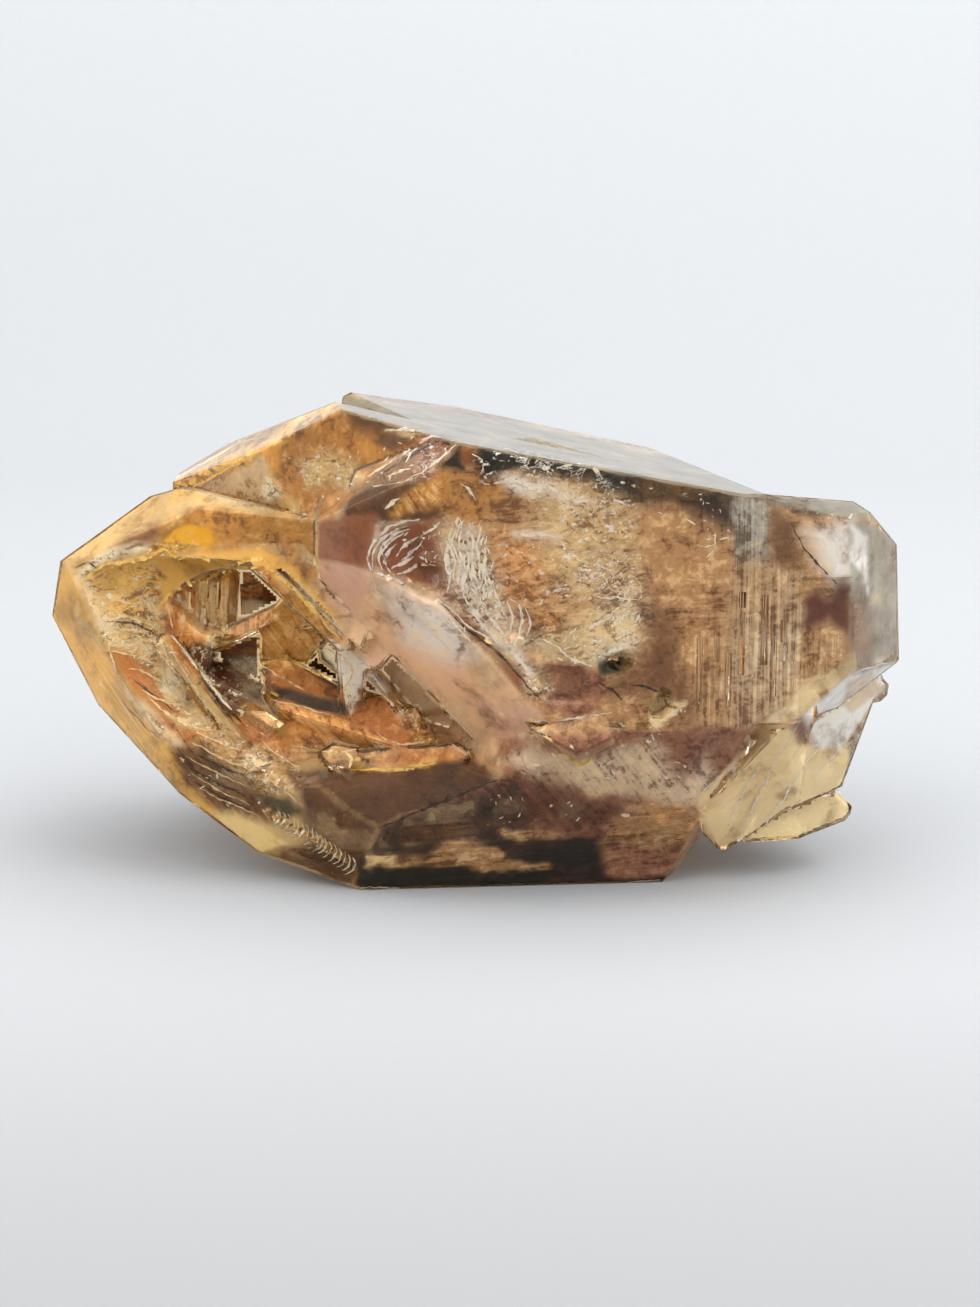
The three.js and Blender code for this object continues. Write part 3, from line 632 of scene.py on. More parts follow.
     [(357, 853), (425, 858), (445, 842), (692, 838), (668, 894), (357, 894)]),
    ("black streaks", NEAR_BLACK, 1.0, 4, "level",
     [(360, 868), (420, 870), (550, 874), (548, 888), (440, 890), (358, 889)]),
    ("cream layers", TAN, 0.97, 3, "level",
     [(367, 855), (400, 858), (428, 860), (440, 843), (470, 842), (492, 846), (502, 854), (498, 861),
      (548, 862), (550, 870), (500, 869), (460, 867), (420, 866), (400, 868), (364, 867)]),
    ("bright left layer", CREAM, 0.97, 2, "level", [(368, 856), (398, 857), (396, 865), (365, 865)]),
    ("pale right layers", MAUVE, 0.97, 5, "level",
     [(602, 850), (640, 846), (690, 844), (674, 876), (640, 878), (604, 876), (598, 862)]),
    ("small pale layer", TAN, 0.95, 3, "level",
     [(500, 832), (530, 831), (560, 834), (552, 841), (505, 840)]),
    ("black spot", NEAR_BLACK, 1.0, 7, "level",
     [(552, 848), (575, 840), (600, 846), (606, 866), (580, 872), (560, 864), (530, 860), (505, 856),
      (530, 852)]),
    ("tan lower right", TAN, 0.85, 10, "level",
     [(642, 802), (702, 812), (688, 846), (600, 846), (612, 822)]),
    ("golden side facet", GOLD, 0.8, 4, "plain", [(664, 890), (700, 812), (710, 832), (672, 882)]),
    ("right blades", CREAM, 0.92, 3, "plain",
     [(698, 800), (760, 735), (790, 712), (806, 740), (732, 855), (702, 838)]),
    ("outer right blades", CREAM, 0.92, 3, "plain",
     [(728, 855), (802, 742), (850, 702), (850, 770), (856, 812), (832, 845)]),
    ("foot of the right blades", CREAM, 0.92, 16, "plain",
     [(735, 850), (775, 812), (850, 800), (858, 815), (832, 848)]),
    ("lower edge of the blades", CREAM, 0.97, 3, "plain", [(738, 850), (762, 833), (832, 832), (830, 846)]),
    ("foot of the first blade", CREAM, 0.97, 5, "plain", [(698, 820), (715, 828), (722, 852), (702, 842)]),
    ("clear blades", WHITE, 0.95, 3, "plain",
     [(797, 722), (850, 676), (898, 662), (884, 690), (842, 750), (815, 748)]),
    ("grey underside of the clear blades", PEARL, 0.9, 3, "plain",
     [(848, 682), (872, 672), (884, 690), (852, 714), (842, 704)]),
    ("violet facet of the blades", MAUVE, 0.7, 5, "plain",
     [(788, 722), (803, 719), (818, 746), (800, 742)]),
    ("top face", TAUPE, 0.92, 4, "plain",
     [(340, 394), (560, 430), (700, 462), (770, 492), (762, 498), (640, 474), (560, 457), (458, 441),
      (343, 408)]),
    ("right top face", TAUPE, 0.9, 4, "plain",
     [(765, 494), (865, 500), (900, 520), (850, 516), (775, 505)]),
]
# A cloud of any of these grains is mottled too, and a plain one has no grain.
GRAINS = ("upright", "level", "slanted", "crackle", "mottled")

# The colours of the clouds where the photograph doesn't show the cluster, each up to a place (mm)
# along its length.
HIDDEN_PALETTES = [
    (-16, [CREAM, PALE_GOLD, GOLD, PALE_GOLD, AMBER]),
    (2, [PEARL, BEIGE, LILAC, MAUVE, PALE_GOLD]),
    (34, [PEARL, BEIGE, TAN, BROWN, CREAM]),
    (99, [WHITE, GREY, PEARL, BEIGE, GREY]),
]

# The size of a skin's squares.
FRONT_SKIN_SIZE = 0.42 * MM
BACK_SKIN_SIZE = 0.8 * MM
# A skin's depth and how much it sways, both in millimetres, and its greatest share of a thin wall.
SKIN_DEPTH = 0.4
SKIN_DEPTH_SWAY = 0.15
SKIN_SHARE_OF_WALL = 0.42
# The ray that measures a wall starts this far inward, so that it doesn't meet its own face.
SKIN_STEP = 0.3 * MM
# How far the clouds' edges wander, in pixels, broadly and finely.
EDGE_WANDER = (5, 3)
# How far the borders between the hidden palettes wander, in millimetres, broadly and finely.
PALETTE_WANDER = (12, 5)
# The least and the most that a hidden cloud covers.
HIDDEN_COVER = (0.15, 0.8)
# A place counts as seen where the first surface that the camera meets is at most this far in front of it.
SIGHT_SLACK = 0.9 * MM
# A plain cloud whose edge is sharper than this (pixels) keeps only a share of the edge's wander.
SHARP_EDGE = 7
SHARP_EDGE_WANDER = 0.15
# The painted white glow round a broad seam. Widths are in pixels, and the spread is a share of the seam's
# width.
PAINTED_GLOW_LEAST_WIDTH = 3.3
PAINTED_GLOW_SPREAD = 1.3
PAINTED_GLOW_STRENGTH = 0.65
PAINTED_GLOW_COVER = 0.95


def seen_pixels(places):
    """The photograph's pixels of places, and whether the camera sees each of them."""
    across = np.empty(len(places))
    down = np.empty(len(places))
    seen = np.empty(len(places), bool)
    for k, place in enumerate(places):
        way = place - CAMERA_PLACE
        ahead = way.dot(LOOK)
        across[k] = PHOTO_SIZE[0] / 2 + FOCAL_PIXELS * way.dot(CAMERA_RIGHT) / ahead
        down[k] = PHOTO_SIZE[1] / 2 - FOCAL_PIXELS * way.dot(CAMERA_UP) / ahead
        hit = SURFACE.ray_cast(CAMERA_PLACE, way.normalized())[3]
        seen[k] = hit is None or hit > way.length - SIGHT_SLACK
    return across, down, seen


def hidden_cloud(place):
    """The cloud's colour, cover and crackle where the photograph doesn't show the cluster."""
    broad, fine = PALETTE_WANDER
    across = place.x / MM + noise.noise(place * 45) * broad + noise.noise(place * 130) * fine
    palette = next(colors for limit, colors in HIDDEN_PALETTES if across < limit)
    pick = (len(palette) - 1) * min(0.999, max(0.0, 0.5 + 1.1 * noise.noise(place * 70 + Vector((7, 0, 0)))))
    step = int(pick)
    color = Vector(palette[step]).lerp(Vector(palette[step + 1]), pick - step)
    cover = 0.45 + 0.5 * noise.noise(place * 55 + Vector((0, 4, 0)))
    crackle = min(1.0, max(0.0, 0.3 + 2.2 * noise.noise(place * 80 + Vector((0, 0, 9)))))
    least, most = HIDDEN_COVER
    return color, min(most, max(least, cover)), crackle


def even_skin(size):
    """The CAD surface as a mesh of even squares, for clouds that follow the faces."""
    source = add_object("skin_source", CAD_CLUSTER.data.copy())
    remesh = source.modifiers.new("even", "REMESH")
    remesh.mode = "VOXEL"
    remesh.voxel_size = size
    mesh = bpy.data.meshes.new_from_object(source.evaluated_get(bpy.context.evaluated_depsgraph_get()))
    bpy.data.objects.remove(source)
    return mesh


def cloud_color(g, shade, light, white):
    """The vertex's colour: painted shade, deeper, where the light value is low, painted light, creamier,
    where it is high, and the white cracks and painted glints.
    """
    painted_shade_color = g.vector("MULTIPLY", shade, (0.36, 0.26, 0.18))
    painted_light_color = g.vector("ADD", g.vector("MULTIPLY", shade, (1.5, 1.6, 1.7)), (0.03, 0.022, 0.014))
    green = g.node("SeparateColor", {0: shade}).outputs[1]
    painted_light_color = g.mix(g.ramp(green, 0.05, 0.4, 0.0, 0.8), painted_light_color, CREAM)
    color = g.mix(g.ramp(light, 0.0, -0.9), shade, painted_shade_color)
    color = g.mix(g.ramp(light, 0.1, 0.95, 0.0, 0.75), color, painted_light_color)
    return g.mix(white, color, WHITE)


def cloud_material():
    """Clouds whose light and dark grain, random tone with painted light and shade, follows the amounts that
    paint() gives each vertex.
    """
    g = material_graph("growth_clouds")
    place = g.place()
    amounts = {name: g.attribute(name)["Fac"] for name in GRAINS + ("cover",)}
    mottled, crackle, cover = amounts["mottled"], amounts["crackle"], amounts["cover"]

    cloud = g.noise(place, 170, detail=7, roughness=0.62, distortion=0.5)
    # The light value holds random tone and the crumple's painted light and shade; cloud_color() turns it into
    # painted shade and light.
    light = g.ramp(cloud, 0.32, 0.68, -0.5, 0.5)
    flecks = g.ramp(g.noise(place, 620, detail=6, roughness=0.68, distortion=0.6), 0.36, 0.64, -0.6, 0.6)
    light = g.plus(light, g.times(flecks, g.ramp(mottled, 0, 1, 0.2, 0.8)))

    # Painted light and shade: the crumple is lit from one side in the colour, as the difference between a
    # relief and the same relief moved a little.
    flat = g.stretched(place, (380, 380, 560), turn=(0, 14, 0))
    beside = g.vector("ADD", flat, (0.06, 0, 0.16))
    relief = {"detail": 7, "roughness": 0.64, "distortion": 0.8}
    lit_side = g.noise(beside, **relief)
    crumple_shading = g.minus(lit_side, g.noise(flat, **relief))
    broken = g.plus(crackle, g.times(mottled, 0.35))
    light = g.plus(light, g.times(g.times(crumple_shading, 4.5), broken))

    streaks = {
        "upright": (g.noise(g.stretched(place, (1900, 90, 36)), roughness=0.7, distortion=0.3), 0.5),
        "level": (g.noise(g.stretched(place, (110, 90, 900), turn=(0, 3, 0)), detail=6, roughness=0.7,
                          distortion=0.5), 0.6),
        "slanted": (g.noise(g.stretched(place, (1300, 90, 90), turn=(0, 35, 0)), roughness=0.7,
                            distortion=0.3), 0.5),
    }
    for name, (streak, reach) in streaks.items():
        light = g.plus(light, g.times(amounts[name], g.ramp(streak, 0.36, 0.64, -reach, reach)))

    # White crack lines, partly painted glints, and sparse white specks that are painted glints.
    veins = g.noise(flat, 0.8, detail=6, roughness=0.6, distortion=1.6)
    ridge = g.math("ABSOLUTE", g.minus(veins, 0.5))
    spots = g.ramp(g.noise(place, 110, detail=3), 0.46, 0.6)
    lines = g.times(g.ramp(ridge, 0.02, 0.006), g.times(crackle, spots))
    painted_glints = g.times(g.ramp(g.noise(flat, 2.4, detail=3, roughness=0.6), 0.6, 0.65), crackle)
    white = g.larger(lines, painted_glints)

    thickness = g.ramp(g.noise(place, 120, detail=6, roughness=0.6), 0.32, 0.62, 0.6, 1.25)
    alpha = g.larger(g.times(cover, thickness), g.ramp(cover, 0.78, 0.96))
    alpha = g.math("MINIMUM", g.larger(alpha, white), 1.0)
    principled = g.node("BsdfPrincipled", {
        "Base Color": cloud_color(g, g.attribute("shade")["Color"], light, white),
        "Roughness": g.minus(g.ramp(cloud, 0.3, 0.7, 0.4, 0.65), g.times(crackle, 0.2)),
        "Alpha": alpha,
        "Normal": g.bump(g.plus(cloud, g.times(lit_side, broken)), 0.8, 0.6 * MM),
    })
    return g.finish(principled.outputs[0])


def paint(outer):
    """Colour, cover and grain of each place of a skin, and whether the camera sees it."""
    across, down, seen = seen_pixels(outer)
    shade = np.empty((len(outer), 4))
    cover = np.empty(len(outer))
    grain = {name: np.zeros(len(outer)) for name in GRAINS}
    grain["mottled"] += 1.0
    wander = np.empty((len(outer), 2))
    broad, fine = EDGE_WANDER
    for k, place in enumerate(outer):
        color, cover[k], grain["crackle"][k] = hidden_cloud(place)
        shade[k] = (*color, 1)
        wander[k] = [broad * noise.noise(place * 260 + offset) + fine * noise.noise(place * 700 + offset)
                     for offset in (Vector((0, 0, 0)), Vector((5, 5, 5)))]
    for _, color, amount, soft, kind, outline in CLOUDS:
        sway = wander * (SHARP_EDGE_WANDER if kind == "plain" and soft < SHARP_EDGE else 1.0)
        gap = outline_gap(across + sway[:, 0], down + sway[:, 1], outline)
        share = np.clip(gap / soft * 0.5 + 0.5, 0, 1)
        share = share * share * (3 - 2 * share) * seen
        shade += (np.array((*color, 1)) - shade) * share[:, None]
        cover += (amount - cover) * share
        for name in GRAINS:
            weight = (kind == name) or (name == "mottled" and kind != "plain")
            grain[name] += (weight - grain[name]) * share
    # A painted white glow round each broad seam.
    for width, line in WHITE_SEAMS + WALL_SEAMS:
        if width > PAINTED_GLOW_LEAST_WIDTH:
            gap = line_gap(across, down, line)
            share = np.exp(-(gap / (width * PAINTED_GLOW_SPREAD)) ** 2) * PAINTED_GLOW_STRENGTH * seen
            shade += (np.array((*WHITE, 1)) - shade) * share[:, None]
            cover += (PAINTED_GLOW_COVER - cover) * share
    return shade, cover, grain, seen


def add_clouds(name, size, front, material):
    """A skin of clouds on the side that the camera sees, or on the hidden side."""
    mesh = even_skin(size)
    mesh.name = name
    outer = [vertex.co.copy() for vertex in mesh.vertices]
    shade, cover, grain, seen = paint(outer)
    work = bmesh.new()
    work.from_mesh(mesh)
    layers = {kind: work.verts.layers.float.new(kind) for kind in GRAINS}
    cover_layer = work.verts.layers.float.new("cover")
    shade_layer = work.verts.layers.float_color.new("shade")
    work.normal_update()
    normals = [vertex.normal.copy() for vertex in work.verts]
    lost = []
    for k, vertex in enumerate(work.verts):
        if seen[k] != front:
            lost.append(vertex)
            continue
        room = SURFACE.ray_cast(outer[k] - normals[k] * SKIN_STEP, -normals[k])[3]
        wall = SKIN_STEP + (room if room is not None else 0)
        wavy_depth = SKIN_DEPTH + SKIN_DEPTH_SWAY * noise.noise(outer[k] * 210)
        sink = min(wavy_depth, SKIN_SHARE_OF_WALL * wall / MM)
        vertex.co = outer[k] - normals[k] * (sink * MM)
        vertex[shade_layer] = shade[k]
        vertex[cover_layer] = cover[k]
        for kind, layer in layers.items():
            vertex[layer] = grain[kind][k]
        if not is_inside(vertex.co, LEAST_DEPTH):
            lost.append(vertex)
    bmesh.ops.delete(work, geom=lost, context="VERTS")
    work.to_mesh(mesh)
    work.free()
    mesh.shade_smooth()
    add_piece(name, mesh, material)


def make_clouds():
    material = cloud_material()
    add_clouds("front_clouds", FRONT_SKIN_SIZE, True, material)
    add_clouds("back_clouds", BACK_SKIN_SIZE, False, material)


# ---- Fractures, striae and seams: thin ribbons and flakes just beneath the faces ----

# Each ribbon: its width in the photograph's pixels and the pixels it runs through.
# The white ribbons are cracks whose whiteness is partly painted glints, and the scar's arcs are partly the
# painted highlights of its ripples.
WHITE_SEAMS = [
    # the ripples of the scar
    (3.2, [(371, 570), (368, 558), (371, 546), (379, 535), (390, 527), (404, 522), (420, 520)]),
    (2.2, [(374, 572), (372, 560), (375, 549), (383, 539), (394, 531), (408, 526)]),
    (3.2, [(385, 560), (381, 550), (386, 541), (396, 534), (410, 528)]),
    (3.0, [(383, 570), (378, 560), (384, 549), (393, 540), (404, 533)]),
    (3.2, [(391, 573), (385, 562), (388, 552), (397, 544)]),
    (3.0, [(396, 556), (406, 545), (418, 536)]),
    (2.8, [(401, 562), (412, 552), (423, 541)]),
    (3.2, [(392, 569), (402, 563), (414, 556)]),
    (3.2, [(420, 536), (430, 530), (439, 523)]),
    (2.6, [(398, 574), (410, 570), (422, 562)]),
    (3.0, [(378, 573), (390, 578), (404, 583)]),
    # the white streaks right of the scar
    (3.0, [(449, 534), (446, 556), (449, 576), (447, 592)]),
    (2.2, [(456, 530), (452, 544), (457, 556)]),
    (4.2, [(466, 545), (469, 560), (465, 575), (463, 594)]),
    (2.4, [(473, 552), (474, 572), (480, 590)]),
    (3.0, [(481, 528), (477, 546), (482, 570), (488, 588), (492, 602)]),
    (2.2, [(471, 528), (463, 543), (470, 553), (478, 546)]),
    (2.4, [(440, 601), (455, 613), (468, 626), (480, 633), (498, 643)]),
    (3.0, [(452, 528), (449, 545), (455, 562), (452, 580)]),
    (2.6, [(461, 532), (459, 548), (464, 566), (460, 584)]),
    (3.6, [(470, 530), (474, 545), (471, 560)]),
    (2.4, [(476, 560), (472, 578), (478, 594)]),
    (3.0, [(486, 548), (485, 566), (491, 584)]),
    (2.6, [(494, 590), (500, 606), (508, 622)]),
    (2.4, [(506, 600), (512, 616), (510, 632)]),
    (2.6, [(518, 604), (522, 618), (519, 634)]),
    (2.2, [(526, 608), (530, 622), (527, 636)]),
    (3.2, [(483, 606), (492, 620), (505, 636)]),
    (3.8, [(470, 606), (482, 624), (500, 644)]),
    (2.6, [(463, 596), (474, 610), (486, 622)]),
    (4.0, [(508, 648), (520, 660), (530, 672)]),
    # the fractures under the top edge
    (5.0, [(505, 480), (520, 482), (535, 488), (546, 486), (562, 494)]),
    (3.0, [(560, 496), (575, 501), (592, 500)]),
    (1.8, [(556, 469), (566, 466), (574, 463)]),
    (2.6, [(588, 462), (596, 470), (603, 479)]),
    (3.2, [(562, 458), (575, 460), (586, 464)]),
    # the fractured middle of the front face
    (3.4, [(516, 534), (532, 535), (546, 535), (558, 539)]),
    (2.0, [(597, 597), (618, 598), (640, 600)]),
    (3.0, [(613, 500), (622, 502), (631, 506)]),
    # the glitter round the dark hole
    (4.2, [(598, 657), (614, 650), (631, 644)]),
    (2.2, [(543, 639), (556, 646), (562, 652)]),
    (2.8, [(558, 650), (575, 660), (592, 666)]),
    (2.6, [(574, 641), (586, 630), (600, 622), (620, 612)]),
    # the striae of the right part
    (2.0, [(715, 533), (714, 548), (707, 557)]),
    (1.6, [(697, 545), (706, 547), (714, 545)]),
    (1.6, [(719, 540), (729, 537)]),
    (2.0, [(684, 520), (690, 521), (696, 524)]),
    # the shoulder and the lower crystal
    (1.8, [(399, 616), (426, 628), (450, 650)]),
    (2.2, [(446, 614), (458, 628), (470, 642)]),
    (1.6, [(478, 676), (490, 682), (502, 691)]),
    (1.6, [(372, 575), (376, 590), (386, 598)]),
    (2.0, [(527, 722), (565, 720), (612, 712)]),
    (2.2, [(362, 887), (420, 889), (520, 888), (600, 885), (660, 880)]),
    (1.6, [(700, 795), (722, 776), (744, 780), (760, 774)]),
    (1.6, [(735, 780), (748, 756), (762, 738)]),
    (2.4, [(800, 722), (782, 752), (760, 792), (735, 850)]),
    (2.2, [(830, 735), (806, 764), (782, 800), (758, 836)]),
    (2.0, [(848, 735), (832, 758), (815, 780)]),
    (2.0, [(770, 742), (752, 778), (733, 812), (722, 842)]),
    (3.0, [(850, 676), (868, 668), (896, 662)]),
    # the rod and the flakes above it
    (2.6, [(362, 481), (385, 465), (410, 450), (436, 433)]),
    (2.4, [(372, 486), (400, 482), (430, 466), (456, 444)]),
    (3.0, [(388, 476), (402, 470), (410, 468)]),
    (2.2, [(405, 462), (412, 452), (418, 448)]),
    (2.0, [(420, 440), (432, 436), (440, 438)]),
    (2.2, [(384, 430), (405, 430), (424, 432)]),
    (3.0, [(384, 510), (392, 503), (400, 498)]),
    (1.8, [(460, 484), (470, 490), (476, 500)]),
]
# The pale ribbons on the hollow's walls and blades are partly painted highlights on their ribs and edges.
WALL_SEAMS = [
    (6.0, [(80, 578), (92, 600), (106, 626)]),
    (3.0, [(108, 640), (113, 662), (124, 686), (142, 710), (159, 730)]),
    (4.0, [(203, 588), (201, 608), (198, 628)]),
    (4.6, [(214, 588), (213, 615), (211, 640)]),
    (4.0, [(227, 592), (225, 615), (222, 640)]),
    (2.6, [(168, 605), (170, 617), (173, 629)]),
    (2.6, [(183, 600), (183, 618), (181, 636)]),
    (3.0, [(101, 597), (120, 601), (140, 604)]),
    (5.0, [(146, 600), (152, 606), (158, 614)]),
    (2.6, [(104, 640), (115, 643), (126, 645)]),
    (2.0, [(108, 628), (124, 629), (142, 633)]),
    (4.4, [(172, 680), (178, 686), (181, 694)]),
    (2.0, [(163, 660), (165, 675), (170, 692)]),
    (4.4, [(140, 706), (158, 728), (176, 742)]),
    (3.0, [(150, 700), (185, 724), (216, 731)]),
    (2.4, [(124, 688), (133, 701), (141, 713)]),
    (4.0, [(248, 757), (258, 763), (268, 762)]),
    (3.0, [(236, 710), (242, 712), (240, 717)]),
    (2.6, [(320, 646), (340, 655), (352, 672), (345, 690), (352, 704)]),
    (2.4, [(352, 652), (366, 664), (378, 678)]),
    (3.0, [(345, 752), (352, 758), (349, 768)]),
    (2.0, [(215, 645), (240, 638), (268, 622)]),
    (2.2, [(262, 665), (285, 680), (305, 690)]),
    (1.8, [(270, 700), (300, 706), (330, 715)]),
    (1.8, [(290, 745), (330, 752), (372, 748)]),
    (2.0, [(372, 690), (388, 700), (400, 716)]),
    (2.0, [(376, 732), (398, 744), (430, 740)]),
    (2.4, [(98, 614), (128, 617), (160, 629)]),
    (2.0, [(100, 650), (132, 655), (166, 668)]),
    (2.0, [(128, 668), (152, 676), (176, 694)]),
    (2.4, [(142, 690), (160, 700), (184, 706)]),
    (2.0, [(118, 682), (135, 704), (160, 722)]),
    (1.8, [(112, 676), (130, 700), (152, 722)]),
    (2.0, [(158, 632), (166, 654), (172, 676)]),
    (1.8, [(168, 640), (184, 672), (208, 706), (226, 728)]),
    (1.8, [(196, 732), (225, 745), (250, 752)]),
    (1.8, [(192, 742), (222, 758), (252, 770)]),
    (1.8, [(186, 756), (215, 772), (246, 786)]),
    (1.8, [(190, 772), (218, 790), (250, 804)]),
    (1.6, [(200, 788), (226, 802), (256, 814)]),
    (1.8, [(262, 742), (280, 756), (300, 768)]),
    (2.0, [(264, 776), (284, 790), (302, 806)]),
]
GOLDEN_SEAMS = [
    (5.5, [(157, 620), (160, 606), (172, 592), (195, 581), (215, 575), (232, 569), (262, 568)]),
    (3.0, [(268, 568), (298, 594), (340, 640)]),
    (4.5, [(80, 584), (96, 570), (112, 563), (136, 560), (150, 556), (165, 550), (176, 558)]),
    (4.0, [(176, 560), (196, 556), (222, 566), (240, 562), (262, 560), (278, 572)]),
    (2.6, [(530, 736), (548, 738), (578, 764), (600, 750), (622, 740)]),
    (3.4, [(350, 769), (392, 770), (436, 763)]),
    (3.0, [(740, 845), (775, 838), (830, 836)]),
    (2.6, [(262, 448), (272, 478), (290, 508)]),
    (2.2, [(175, 496), (200, 484), (262, 450)]),
]
DARK_SEAMS = [
    (2.4, [(188, 750), (218, 765), (248, 778)]),
    (2.2, [(186, 765), (216, 782), (246, 796)]),
    (2.0, [(194, 781), (222, 797), (252, 810)]),
    (2.0, [(104, 622), (135, 624), (164, 640)]),
    (2.0, [(130, 676), (150, 692), (176, 712)]),
    (2.0, [(122, 700), (140, 722), (160, 738)]),
    (3.0, [(184, 640), (205, 682), (238, 728)]),
    (2.0, [(76, 568), (88, 562), (98, 572)]),
    (2.6, [(275, 690), (306, 704), (346, 714)]),
    (2.2, [(303, 666), (316, 654), (327, 642)]),
    (3.4, [(529, 733), (540, 734), (551, 737)]),
    (1.6, [(789, 520), (803, 546), (820, 566), (836, 584)]),
    (2.4, [(372, 480), (400, 462), (440, 440)]),
    (2.0, [(440, 602), (470, 632), (500, 655), (540, 700)]),
    (2.2, [(597, 682), (610, 688), (622, 700)]),
    (2.2, [(630, 684), (650, 688), (664, 696)]),
    (3.0, [(378, 829), (440, 803), (497, 780)]),
]

# Each swarm of flakes: how many, their size in millimetres and the outline that they lie in.
FLAKE_SWARMS = [
    (70, 1.1, [(470, 450), (600, 470), (690, 495), (640, 520), (520, 490), (480, 478)]),
    (110, 0.9, [(500, 490), (640, 505), (650, 600), (540, 600), (505, 545)]),
    (110, 1.0, [(540, 640), (640, 590), (650, 640), (600, 675), (555, 668)]),
    (60, 0.9, [(445, 525), (500, 540), (530, 640), (500, 650), (450, 590)]),
    (90, 1.1, [(90, 590), (160, 600), (235, 730), (300, 765), (250, 790), (150, 710)]),
    (60, 1.0, [(240, 580), (340, 640), (440, 740), (330, 760), (230, 680)]),
    (50, 1.0, [(165, 745), (265, 800), (310, 830), (250, 830)]),
    (40, 0.9, [(280, 440), (450, 440), (380, 480), (320, 515)]),
    (30, 0.8, [(640, 690), (690, 700), (650, 745)]),
    (50, 0.9, [(700, 800), (850, 710), (850, 835), (730, 845)]),
    (40, 0.8, [(520, 725), (620, 715), (578, 762)]),
    (60, 0.8, [(500, 740), (700, 740), (690, 830), (420, 840)]),
]

# Each swarm of dashes: how many, their length in pixels, their slope and its spread in degrees, and the
# outline that they lie in.
DASH_SWARMS = [
    (150, 9, 40, 22, [(545, 645), (560, 625), (600, 605), (640, 592), (645, 625), (610, 655), (570, 665)]),
    (70, 6, 0, 90, [(545, 590), (560, 520), (600, 505), (640, 520), (645, 590)]),
    (60, 8, 10, 40, [(476, 450), (560, 466), (640, 484), (640, 506), (560, 496), (480, 482)]),
    (40, 5, 0, 90, [(640, 480), (760, 505), (740, 545), (650, 530)]),
    (200, 11, 92, 16, [(446, 525), (484, 532), (500, 600), (470, 606), (446, 576)]),
    (120, 8, 130, 30, [(470, 606), (500, 600), (532, 642), (520, 662)]),
    (50, 6, 130, 60, [(392, 534), (440, 520), (440, 560), (400, 572)]),
    (40, 8, 145, 25, [(380, 584), (440, 604), (480, 645), (440, 640)]),
    (60, 6, 0, 90, [(644, 745), (660, 715), (690, 700), (680, 725), (656, 745)]),
    (50, 10, 150, 12, [(540, 742), (640, 745), (690, 760), (680, 800), (600, 790), (530, 765)]),
    (60, 7, 160, 40, [(100, 610), (160, 612), (230, 730), (300, 765), (290, 790), (170, 740)]),
    (40, 6, 150, 50, [(165, 750), (262, 800), (262, 826), (205, 805)]),
    (50, 6, 0, 90, [(200, 660), (262, 668), (276, 700), (330, 740), (300, 760), (232, 716)]),
    (40, 6, 0, 90, [(400, 695), (445, 704), (480, 745), (430, 752)]),
    (40, 6, 20, 60, [(290, 462), (350, 440), (400, 430), (440, 440), (340, 500), (300, 502)]),
    (16, 5, 0, 90, [(480, 800), (560, 790), (600, 812), (540, 832), (488, 822)]),
    (24, 5, 0, 90, [(778, 506), (850, 516), (850, 522), (790, 516)]),
]

# Half the width of a photograph's pixel at the cluster.
HALF_PIXEL = 0.0705 * MM
CURVE_STEP_PIXELS = 2.5
LONGEST_RIBBON_STEP = 2 * MM
# How squarely a face must look at the camera, as a cosine, to carry a ribbon or a flake.
RIBBON_LEAST_FACING = 0.12
FLAKE_LEAST_FACING = 0.15
FLAKE_LEAST_DEPTH = 0.1 * MM
DASH_CLUSTER_LEVEL = -0.12

# How a ribbon strays from its line (pixels), slowly and finely, and how its width changes: the share of it
# that is left at the ends, how fast it grows from there, its swelling along the way and its raggedness.
WAVER_REACH = (1.6, 0.9)
WAVER_PITCH = 0.09
RIBBON_TIP = 0.25
RIBBON_GROWTH = 1.5
RIBBON_SWELL = 0.8
RIBBON_SWELL_PITCH = 0.12
RIBBON_RAGGEDNESS = 0.5

# A flake's depth (mm), its tilt from the face, its slimness, its corners and the raggedness of its rim.
FLAKE_DEPTHS = (0.2, 1.2)
FLAKE_TILT = 0.35
FLAKE_SLIMNESS = (0.2, 0.7)
FLAKE_CORNERS = (4, 7)
FLAKE_RIM = (0.55, 1.0)

# A dash's width in pixels, its share of the swarm's length, and its bend in radians either way.
DASH_WIDTHS = (0.8, 2.5)
DASH_LENGTHS = (0.3, 1.1)
DASH_BEND = 0.4

# The curled row on the left crystal's lower edge, in pixels: the first curl's place, the way from one curl
# to the next, how fast the row bends down, and a curl's line from its own place.
FIRST_CURL = (272, 816)
CURL_STEP = (4.7, 2.6)
CURL_BEND = 0.03
CURL_LINE = [(6, -7), (8, -1), (5, 6), (-1, 9)]
CURL_COUNT = 17
CURL_WIDTH = 1.8


def seam_material(name, color, roughness, cover):
    g = material_graph(name)
    flecks = g.noise(g.place(), 900)
    principled = g.node("BsdfPrincipled", {
        "Base Color": g.mix(flecks, [c * 0.72 for c in color], color),
        "Roughness": g.ramp(flecks, 0.3, 0.7, roughness * 0.7, roughness * 1.4),
        "Alpha": g.ramp(flecks, 0.32, 0.5, cover * 0.45, cover),
        "Normal": g.bump(flecks, 0.7, 0.4 * MM),
    })
    return g.finish(principled.outputs[0])


